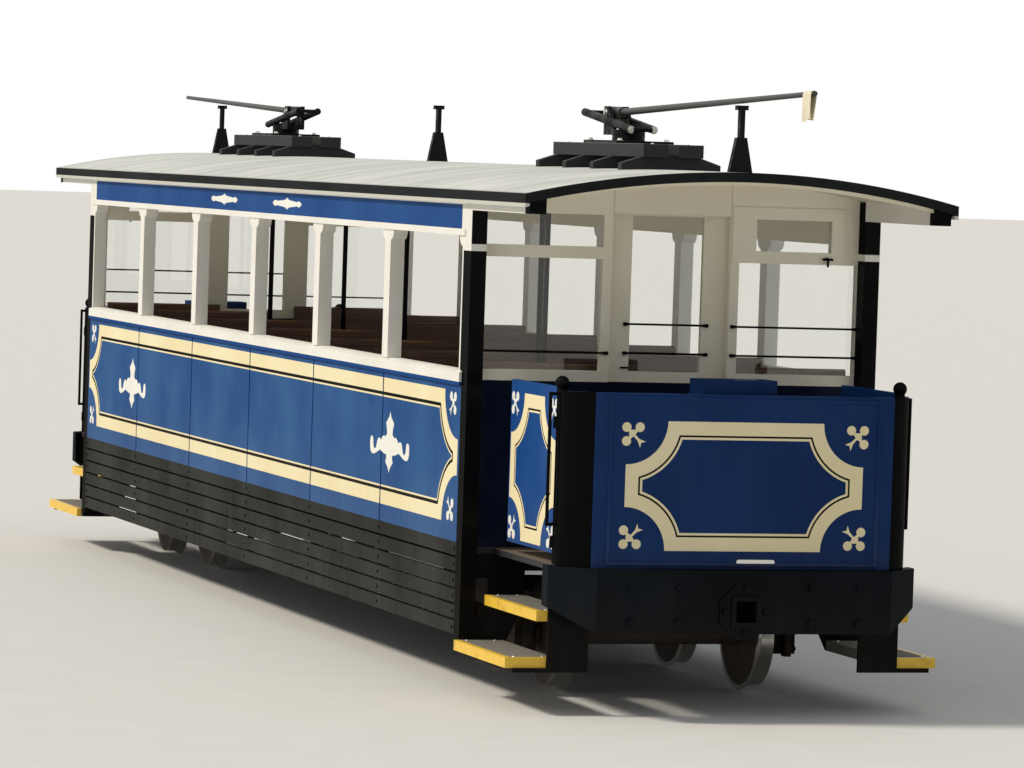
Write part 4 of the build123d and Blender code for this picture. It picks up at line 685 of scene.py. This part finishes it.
# Door pulls and window catches: forged rod bent to shape and blacked, screwed on through its feet.
# The pull lies close to the door so that it passes behind the bulkhead.
def bent_rod(name, routes, radius, material, body, sides=10):
    """Round rod along routes of points, its ends drawn in."""
    points, faces = [], []
    for route in routes:
        route = [Vector(point) for point in route]
        first, last = (route[1] - route[0]).normalized(), (route[-1] - route[-2]).normalized()
        stations = [(route[0] - first * radius * 0.5, first, 0.6)]
        for number, point in enumerate(route):
            before = first if number == 0 else (point - route[number - 1]).normalized()
            after = last if number == len(route) - 1 else (route[number + 1] - point).normalized()
            stations.append((point, (before + after).normalized(), 1.0))
        stations.append((route[-1] + last * radius * 0.5, last, 0.6))
        side = stations[0][1].orthogonal().normalized()
        start = len(points)
        for point, along, share in stations:
            side = (side - along * side.dot(along)).normalized()
            other = along.cross(side)
            for step in range(sides):
                a = 2 * math.pi * step / sides
                points.append(point + radius * share * (side * math.cos(a) + other * math.sin(a)))
        for ring in range(len(stations) - 1):
            for i in range(sides):
                j, low = (i + 1) % sides, start + ring * sides
                faces.append((low + i, low + j, low + sides + j, low + sides + i))
        faces.append(tuple(range(start + sides - 1, start - 1, -1)))
        faces.append(tuple(range(len(points) - sides, len(points))))
    return new_piece(name, points, faces, material, body, smooth=True)


PULL_RADIUS, CATCH_RADIUS = 0.005, 0.0065
PULL_Z = 1.734
PULL_MIDDLE = -0.225
PULL = [(DOOR_FACE, -0.245, PULL_Z), (4.3435, -0.243, PULL_Z), (4.3455, -0.238, PULL_Z)]
PULL += [(x, 2 * PULL_MIDDLE - y, z) for x, y, z in reversed(PULL)]
CATCH = [(4.406, 0.880, 2.345), (4.424, 0.880, 2.343), (4.430, 0.880, 2.334), (4.430, 0.880, 2.302)]
CATCH_BAR = [(4.426, 0.852, 2.340), (4.426, 0.908, 2.340)]


def at_end(sign, routes):
    """Routes of the downhill end turned half round for the other."""
    return [[(sign * x, sign * y, z) for x, y, z in route] for route in routes]


for end, sign in END_SIGNS.items():
    bent_rod(f"door_{end}_pull", at_end(sign, [PULL]), PULL_RADIUS, KNOB_STEEL, f"door_{end}")
    bent_rod(f"hopper_{end}_catch", at_end(sign, [CATCH, CATCH_BAR]), CATCH_RADIUS, KNOB_STEEL, "car")


# Bolts: one rule makes every head, with its washer, and turns each one at random about its own shank.
# Coach bolts have domed heads; nuts and machine bolts have six sides.
BOLT_INPUTS = {
    "Places": "NodeSocketGeometry",
    "Head radius": "NodeSocketFloat",
    "Head rise": "NodeSocketFloat",
    "Washer radius": "NodeSocketFloat",
    "Sides": "NodeSocketInt",
    "Dome": "NodeSocketFloat",
    "Finish": "NodeSocketMaterial",
}
HEX_TOP, DOME_TOP = 0.88, 0.26
WASHER_SHARE = 0.24
FULL_TURN = 6.283


def bolt_rule():
    tree = bpy.data.node_groups.new("bolt_heads", "GeometryNodeTree")
    for name, kind in BOLT_INPUTS.items():
        tree.interface.new_socket(name, in_out="INPUT", socket_type=kind)
    tree.interface.new_socket("Heads", in_out="OUTPUT", socket_type="NodeSocketGeometry")
    given = add(tree, "NodeGroupInput").outputs
    radius, rise = given["Head radius"], given["Head rise"]
    top = reckon(tree, "MULTIPLY_ADD", given["Dome"], DOME_TOP - HEX_TOP, HEX_TOP)
    top = reckon(tree, "MULTIPLY", top, radius)
    cone = add(tree, "GeometryNodeMeshCone", {"Vertices": given["Sides"], "Side Segments": 3, "Depth": rise})
    give(tree, cone, {"Radius Top": top, "Radius Bottom": radius})
    place = add(tree, "GeometryNodeInputPosition")
    axes = add(tree, "ShaderNodeSeparateXYZ", {0: place}).outputs
    flat = add(tree, "ShaderNodeCombineXYZ", {0: axes["X"], 1: axes["Y"]})
    out = add(tree, "ShaderNodeVectorMath", {0: flat}, operation="LENGTH")
    share = reckon(tree, "DIVIDE", out, radius)
    square = reckon(tree, "MULTIPLY", share, share)
    rest = reckon(tree, "SUBTRACT", 1.0, square, use_clamp=True)
    curve = reckon(tree, "SQRT", rest)
    domed = reckon(tree, "MULTIPLY", curve, rise)
    height = add(tree, "ShaderNodeMix", {"Factor": given["Dome"], "A": axes["Z"], "B": domed})
    moved = add(tree, "ShaderNodeCombineXYZ", {0: axes["X"], 1: axes["Y"], 2: height})
    head = add(tree, "GeometryNodeSetPosition", {"Geometry": cone, "Position": moved})
    thin = reckon(tree, "MULTIPLY", rise, WASHER_SHARE)
    ring = {"Vertices": 14, "Radius": given["Washer radius"], "Depth": thin}
    washer = add(tree, "GeometryNodeMeshCylinder", ring)
    both_pieces = add(tree, "GeometryNodeJoinGeometry", {"Geometry": head})
    give(tree, both_pieces, {"Geometry": washer})
    facing = add(tree, "GeometryNodeInputNamedAttribute", {"Name": "facing"}, data_type="FLOAT_VECTOR")
    aimed = add(tree, "FunctionNodeAlignRotationToVector", {"Vector": facing}, axis="Z")
    spin = add(tree, "FunctionNodeRandomValue", {"Min": 0.0, "Max": FULL_TURN, "Seed": 5}, data_type="FLOAT")
    spin = add(tree, "FunctionNodeAxisAngleToRotation", {"Axis": (0, 0, 1), "Angle": spin})
    aims = {"Rotation": aimed, "Rotate By": spin}
    turn = add(tree, "FunctionNodeRotateRotation", aims, rotation_space="LOCAL")
    spread = {"Points": given["Places"], "Instance": both_pieces, "Rotation": turn}
    spots = add(tree, "GeometryNodeInstanceOnPoints", spread)
    real = add(tree, "GeometryNodeRealizeInstances", {"Geometry": spots})
    done = add(tree, "GeometryNodeSetMaterial", {"Geometry": real, "Material": given["Finish"]})
    add(tree, "NodeGroupOutput", {"Heads": done})
    return tree


BOLT_RULE = bolt_rule()
COACH_BOLT = {"Head radius": 0.011, "Head rise": 0.005, "Washer radius": 0.0112, "Sides": 12, "Dome": 1.0}
NUT = {"Head radius": 0.015, "Head rise": 0.012, "Washer radius": 0.021, "Sides": 6, "Dome": 0.0}
BIG_NUT = {"Head radius": 0.021, "Head rise": 0.017, "Washer radius": 0.029, "Sides": 6, "Dome": 0.0}


def bolts(name, size, places, finish, body):
    """Bolt heads at places, a table of (point, the way the head faces)."""
    mesh = bpy.data.meshes.new(name)
    mesh.from_pydata([point for point, facing in places], [], [])
    ways = mesh.attributes.new("facing", "FLOAT_VECTOR", "POINT")
    ways.data.foreach_set("vector", [share for point, facing in places for share in facing])
    piece = bpy.data.objects.new(name, mesh)
    bpy.context.scene.collection.objects.link(piece)
    heads = piece.modifiers.new("heads", "NODES")
    heads.node_group = BOLT_RULE
    values = dict(size, Finish=finish)
    for socket in BOLT_RULE.interface.items_tree:
        if socket.name in values:
            heads[socket.identifier] = values[socket.name]
    made = bpy.data.meshes.new_from_object(piece.evaluated_get(bpy.context.evaluated_depsgraph_get()))
    piece.modifiers.clear()
    piece.data = made
    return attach(piece, body)


PAINTED_BOLT = coach_paint("black_paint_on_bolt_heads", [BLACK], gloss=0.35, dust=GRIME)
BRIGHT_BOLT = bright_steel("bright_zinc_plated_nuts", "C9C8C2")
UP = (0, 0, 1)
END_BATTEN = 4.368
BATTENS = [step * BAY for step in range(-2, 3)] + [-END_BATTEN, END_BATTEN]
SLAT_BOTTOM, SLAT_PITCH, HALF_SLAT = 0.312, 0.083, 0.0355
SLAT_MIDDLES = [SLAT_BOTTOM + SLAT_PITCH * row + HALF_SLAT for row in range(6)]
skirt_bolts = [((x, y * SIDE_FACE, z), (0, y, 0)) for x in BATTENS for y in BOTH for z in SLAT_MIDDLES]
bolts("skirt_bolts", COACH_BOLT, skirt_bolts, PAINTED_BOLT, "car")
PLATE_BOLTS = [(y, z) for y in (-0.62, -0.36, 0.36, 0.62) for z in (0.50, 0.68)]
POCKET_BOLTS = [(0.110, 0.560), (-0.110, 0.560), (0, 0.670), (0, 0.450)]
PLATE_FACE, POCKET_FACE = 5.705, 5.717
beam = [((x * PLATE_FACE, y, z), (x, 0, 0)) for x in BOTH for y, z in PLATE_BOLTS]
beam += [((x * POCKET_FACE, y, z), (x, 0, 0)) for x in BOTH for y, z in POCKET_BOLTS]
bolts("headstock_bolts", BIG_NUT, beam, BEAM_PAINT, "car")
HANGERS_X = (4.552, 5.366)
TREAD_BOLTS = ((0.965, 0.293), (1.120, 0.293), (0.850, 0.532), (0.955, 0.532))
spots = [(x * at, y) for x in BOTH for y in BOTH for at in HANGERS_X]
treads = [((x, side * y, z), UP) for x, side in spots for y, z in TREAD_BOLTS]
bolts("tread_bolts", COACH_BOLT, treads, BRIGHT_BOLT, "car")
AXLEBOX_FACE = 0.795
COVER_NUTS = [(u, v) for u in (-0.070, 0.070) for v in (-0.075, 0.075)]
for end, sign in END_SIGNS.items():
    boxes = [(sign * BOGIE_X + axle * HALF_WHEELBASE, y) for axle in BOTH for y in BOTH]
    covers = [((x + u, y * AXLEBOX_FACE, AXLE_Z + v), (0, y, 0)) for x, y in boxes for u, v in COVER_NUTS]
    bolts(f"axlebox_{end}_nuts", NUT, covers, PAINTED_BOLT, f"bogie_{end}")
TROLLEY_X, BASE_TOP = 3.620, 2.945
BASE_NUTS = [(u, v) for u in (-0.250, 0.250) for v in (-0.135, 0.135)]
plates = [((x * TROLLEY_X + u, v, BASE_TOP), UP) for x in BOTH for u, v in BASE_NUTS]
bolts("trolley_base_nuts", NUT, plates, BRIGHT_BOLT, "car")
BEARERS_X = (2.880, 3.833, 4.310)
ROOF_BOARD_TOP = 2.930
planks = [((x * at, y, ROOF_BOARD_TOP), UP) for x in BOTH for at in BEARERS_X for y in (-0.1, 0.1)]
bolts("roof_board_bolts", COACH_BOLT, planks, BRIGHT_BOLT, "car")
PIVOT_NUT, END_NUT, END_FACING = (3.400, 0.060, 3.098), (3.850, 0.066, 3.006), (0.9930, -0.1183)
for end, x in END_SIGNS.items():
    gear = [((x * PIVOT_NUT[0], y * PIVOT_NUT[1], PIVOT_NUT[2]), (0, y, 0)) for y in BOTH]
    facing = (x * END_FACING[0], 0, END_FACING[1])
    gear += [((x * END_NUT[0], y * END_NUT[1], END_NUT[2]), facing) for y in BOTH]
    bolts(f"trolley_{end}_nuts", NUT, gear, BRIGHT_BOLT, f"trolley_swivel_{end}")


# Roof: boards under canvas bedded in white lead and painted, with the cloth's seams running across.
# Dirt gathers at the seams and lies in blotches between them; under the boards the ceiling is cream.
CLOTH_MM = 460


def painted_canvas():
    material, tree, shader, place = new_finish("painted_roof_canvas")
    edge = laid_side_by_side(tree, place, "X", CLOTH_MM)[1]
    seam = add(tree, "ShaderNodeMapRange", {"Value": edge, 1: 0.472, 2: 0.5})
    lap = add(tree, "ShaderNodeMapRange", {"Value": edge, 1: 0.40, 2: 0.46})
    stains = drawn_out(tree, place, (5.0, 1.3, 1.3), 9.0, Roughness=0.62)
    dirty = add(tree, "ShaderNodeMapRange", {"Value": stains, 1: 0.42, 2: 0.72})
    grime = reckon(tree, "MULTIPLY_ADD", seam, 0.55, dirty, use_clamp=True)
    colour = blend(tree, grime, "D3D5CF", "AFB2AB")
    inside = add(tree, "ShaderNodeNewGeometry").outputs["Normal"]
    down = add(tree, "ShaderNodeSeparateXYZ", {0: inside}).outputs["Z"]
    ceiling = reckon(tree, "LESS_THAN", down, 0.0)
    shown = blend(tree, ceiling, colour, "F2ECD6")
    weave = add(tree, "ShaderNodeTexNoise", {"Vector": place, "Scale": 240.0, "Detail": 3.0})
    fine = reckon(tree, "MULTIPLY_ADD", weave, 0.3, lap)
    bump = add(tree, "ShaderNodeBump", {"Height": fine, "Strength": 0.35, "Distance": 0.004})
    give(tree, shader, {"Base Color": shown, "Roughness": 0.66, "Normal": bump})
    return material


finish_node(["roof"], painted_canvas())

# Fascia: a pine board round the eaves, painted black, with the roof cloth lapped over its top.
# Along the sides its lower edge is pale grey: the white of the cove under it, darkened with painted shade
# from the eaves.
GUTTER_PAINT = coach_paint("black_fascia_paint", [(0.0, "15181A", "202427")], gloss=0.42)
tree = GUTTER_PAINT.node_tree
normal = add(tree, "ShaderNodeNewGeometry").outputs["Normal"]
upward = add(tree, "ShaderNodeSeparateXYZ", {0: normal}).outputs["Z"]
lapped = reckon(tree, "GREATER_THAN", upward, 0.5)
repaint(GUTTER_PAINT, "BFC2BC", [], mask=lapped)
FASCIA_BOTTOM = RAIL_TOP + 2.560
# Painted shade: this grey is the cove's white as it looks in the shadow of the eaves.
PALE_EDGE = [("Z", FASCIA_BOTTOM + 0.020, False), ("X", 5.530, False)]
finish_node(["fascia"], repaint(GUTTER_PAINT, "C9C9BF", PALE_EDGE))

# Carlines and cant rails: ash bows across the car, and the rails that carry the roof over the platforms.
# The bows are cream like the ceiling, and the rails are white with black ends.
finish_node(["carlines"], coach_paint("cream_gloss_on_ash", [CREAM]))
CANT_RAIL_PAINT = coach_paint("white_gloss_cant_rail", [WHITE])
BLACK_END = 5.405
finish_node(["cant_rails"], repaint(CANT_RAIL_PAINT, BLACK[1], [("X", BLACK_END, True)]))


# Benches: varnished oak slats on solid ends, dark with age, and black iron stanchions to the roof.
# The slats lie across the car, so their joints show as dark lines.
OAK = ("6B4A2E", "33211A")
finish_node(["bench_seats"], worn_boards("varnished_oak_seat_slats", *OAK, 62, "X", roughness=0.34))
finish_node(["bench_backs"], worn_boards("varnished_oak_back_slats", *OAK, 74, "Z", roughness=0.34))
finish_node(["bench_ends"], worn_boards("varnished_oak_bench_ends", *OAK, 140, "X", roughness=0.34))
finish_node(["stanchions"], GLOSS_BLACK)

# Skirts: pine slats on battens, painted near-black and scoured dull by grit from the road.
# Each slat is bolted to its battens and stands a little off the next.
SLAT_BLACK = (0.0, "1D1F1E", "343634")
SLAT_PAINT = coach_paint("dull_black_slat_paint", [SLAT_BLACK], gloss=0.55, dust="5E5D56")
finish_node(["skirts"], SLAT_PAINT)


# Steps: pine treads topped with grit, whose outer edges and ends are safety yellow.
# Shoes have worn the yellow thin and greyed the grit.
BETWEEN_TREADS_Z = 0.4
UPPER_EDGE, LOWER_EDGE, EDGE_STRIPE = 1.020, 1.180, 0.03
TREAD_END, END_STRIPE = 5.406, 0.025


def tread_finish():
    material, tree, shader, place = new_finish("gritted_tread_with_yellow_edge")
    axes = add(tree, "ShaderNodeSeparateXYZ", {0: place}).outputs
    side = reckon(tree, "ABSOLUTE", axes["Y"])
    end = reckon(tree, "ABSOLUTE", axes["X"])
    low = reckon(tree, "LESS_THAN", axes["Z"], BETWEEN_TREADS_Z)
    stripe = {"Value": low, 3: UPPER_EDGE - EDGE_STRIPE, 4: LOWER_EDGE - EDGE_STRIPE}
    edge = add(tree, "ShaderNodeMapRange", stripe)
    within = reckon(tree, "LESS_THAN", side, edge)
    short = reckon(tree, "LESS_THAN", end, TREAD_END - END_STRIPE)
    gritty = reckon(tree, "MULTIPLY", within, short)
    grit = add(tree, "ShaderNodeTexVoronoi", {"Vector": place, "Scale": 420.0})
    wear = add(tree, "ShaderNodeTexNoise", {"Vector": place, "Scale": 18.0, "Detail": 8.0})
    grey = blend(tree, grit, "57544E", "9A968C")
    yellow = blend(tree, wear, "F7D148", "E4B42E")
    worn = add(tree, "ShaderNodeMapRange", {"Value": wear, 1: 0.6, 2: 0.75, 4: 0.6})
    scuffed = blend(tree, worn, yellow, "A08C4A")
    colour = blend(tree, gritty, scuffed, grey)
    rough = add(tree, "ShaderNodeMapRange", {"Value": gritty, 3: 0.45, 4: 0.92})
    bump = add(tree, "ShaderNodeBump", {"Height": grit, "Distance": 0.002, "Strength": gritty})
    give(tree, shader, {"Base Color": colour, "Roughness": rough, "Normal": bump})
    return material


finish_node(["step_treads"], tread_finish())

# Roof boards: two pine planks on bearers at each end of the roof, grey on top.
# Their sides and ends are near-black: painted shade.
GREY_TOPPED_BOARDS = worn_boards("grey_topped_roof_boards", "A6A39B", "6E6B64", 140, "Y", roughness=0.8)
# The near-black below the tops is painted shade.
finish_node(["roof_boards"], repaint(GREY_TOPPED_BOARDS, "17181A", [("Z", ROOF_BOARD_TOP - 0.0015, False)]))

# Trolley gear: forged and turned steel under black paint, as are the hook stands that the poles lie on.
# The poles are ash, varnished and dark with weather.
FORGED_BLACK = underside_iron("black_painted_forging", "0F1011", "2A2724", 60, 0.4)
finish_node(["hook_stands", "trolley_bases"] + both("trolley_swivel_{}"), FORGED_BLACK)
pole, tree, shader, place = new_finish("varnished_ash_pole")
grain = drawn_out(tree, place, (3.0, 160.0, 160.0), 6.0)
wood = blend(tree, grain, "1B1A19", "3B3833")
give(tree, shader, {"Base Color": wood, "Roughness": 0.5})
finish_node(both("trolley_pole_{}"), pole)


# Rag: a torn strip of undyed cotton sheet folded over the trolley pole near its tip and left to hang.
# It is soft from washing, so the tails fall in shallow waves and their corners droop.
def worn_cotton():
    material, tree, shader, place = new_finish("washed_cotton_rag")
    soil = add(tree, "ShaderNodeTexNoise", {"Vector": place, "Scale": 26.0, "Detail": 6.0})
    colour = blend(tree, soil, "D8CFB0", "F2EBD2")
    weave = add(tree, "ShaderNodeTexNoise", {"Vector": place, "Scale": 1100.0, "Detail": 2.0})
    bump = add(tree, "ShaderNodeBump", {"Height": weave, "Strength": 0.5, "Distance": 0.0006})
    give(tree, shader, {"Base Color": colour, "Roughness": 0.92, "Sheen Weight": 0.25, "Normal": bump})
    return material


RAG_WIDTH, RAG_LENGTH = 0.115, 0.310
ROWS, COLUMNS = 56, 24
FOLD_RADIUS = 0.0155
RAG_X, POLE_Z, POLE_SLOPE = 6.366, 3.1946, 0.0326
WAVE_DEPTH, WAVE_PITCH, WAVE_START, WAVE_TWIST = 0.058, 58, 1.1, 7
INWARD_LEAN, SIDEWAYS_LEAN, NARROWING, CORNER_DROOP = 0.05, 0.10, 0.55, 0.10
rag_points, rag_faces = [], []
for row in range(ROWS + 1):
    along_rag = RAG_LENGTH * (row / ROWS - 0.5)
    turn = max(-math.pi / 2, min(math.pi / 2, along_rag / FOLD_RADIUS))
    hang = max(0.0, abs(along_rag) - FOLD_RADIUS * math.pi / 2)
    tail = 1 if along_rag > 0 else -1
    for column in range(COLUMNS + 1):
        across_rag = RAG_WIDTH * (column / COLUMNS - 0.5)
        ripple = math.sin(WAVE_PITCH * across_rag + WAVE_START * tail + WAVE_TWIST * hang)
        wave = WAVE_DEPTH * hang * ripple - INWARD_LEAN * hang
        droop = CORNER_DROOP * hang * (across_rag / RAG_WIDTH) * tail
        x = RAG_X + across_rag * (1 - NARROWING * hang) + SIDEWAYS_LEAN * hang * tail
        y = FOLD_RADIUS * math.sin(turn) + tail * wave
        z = POLE_Z + POLE_SLOPE * across_rag + FOLD_RADIUS * math.cos(turn) - hang - droop
        rag_points.append((x, y, z))
for row in range(ROWS):
    for column in range(COLUMNS):
        corner = row * (COLUMNS + 1) + column
        above = corner + COLUMNS + 1
        rag_faces.append((corner, corner + 1, above + 1, above))
rag = new_piece("rag", rag_points, rag_faces, worn_cotton(), "trolley_pole_down", smooth=True)
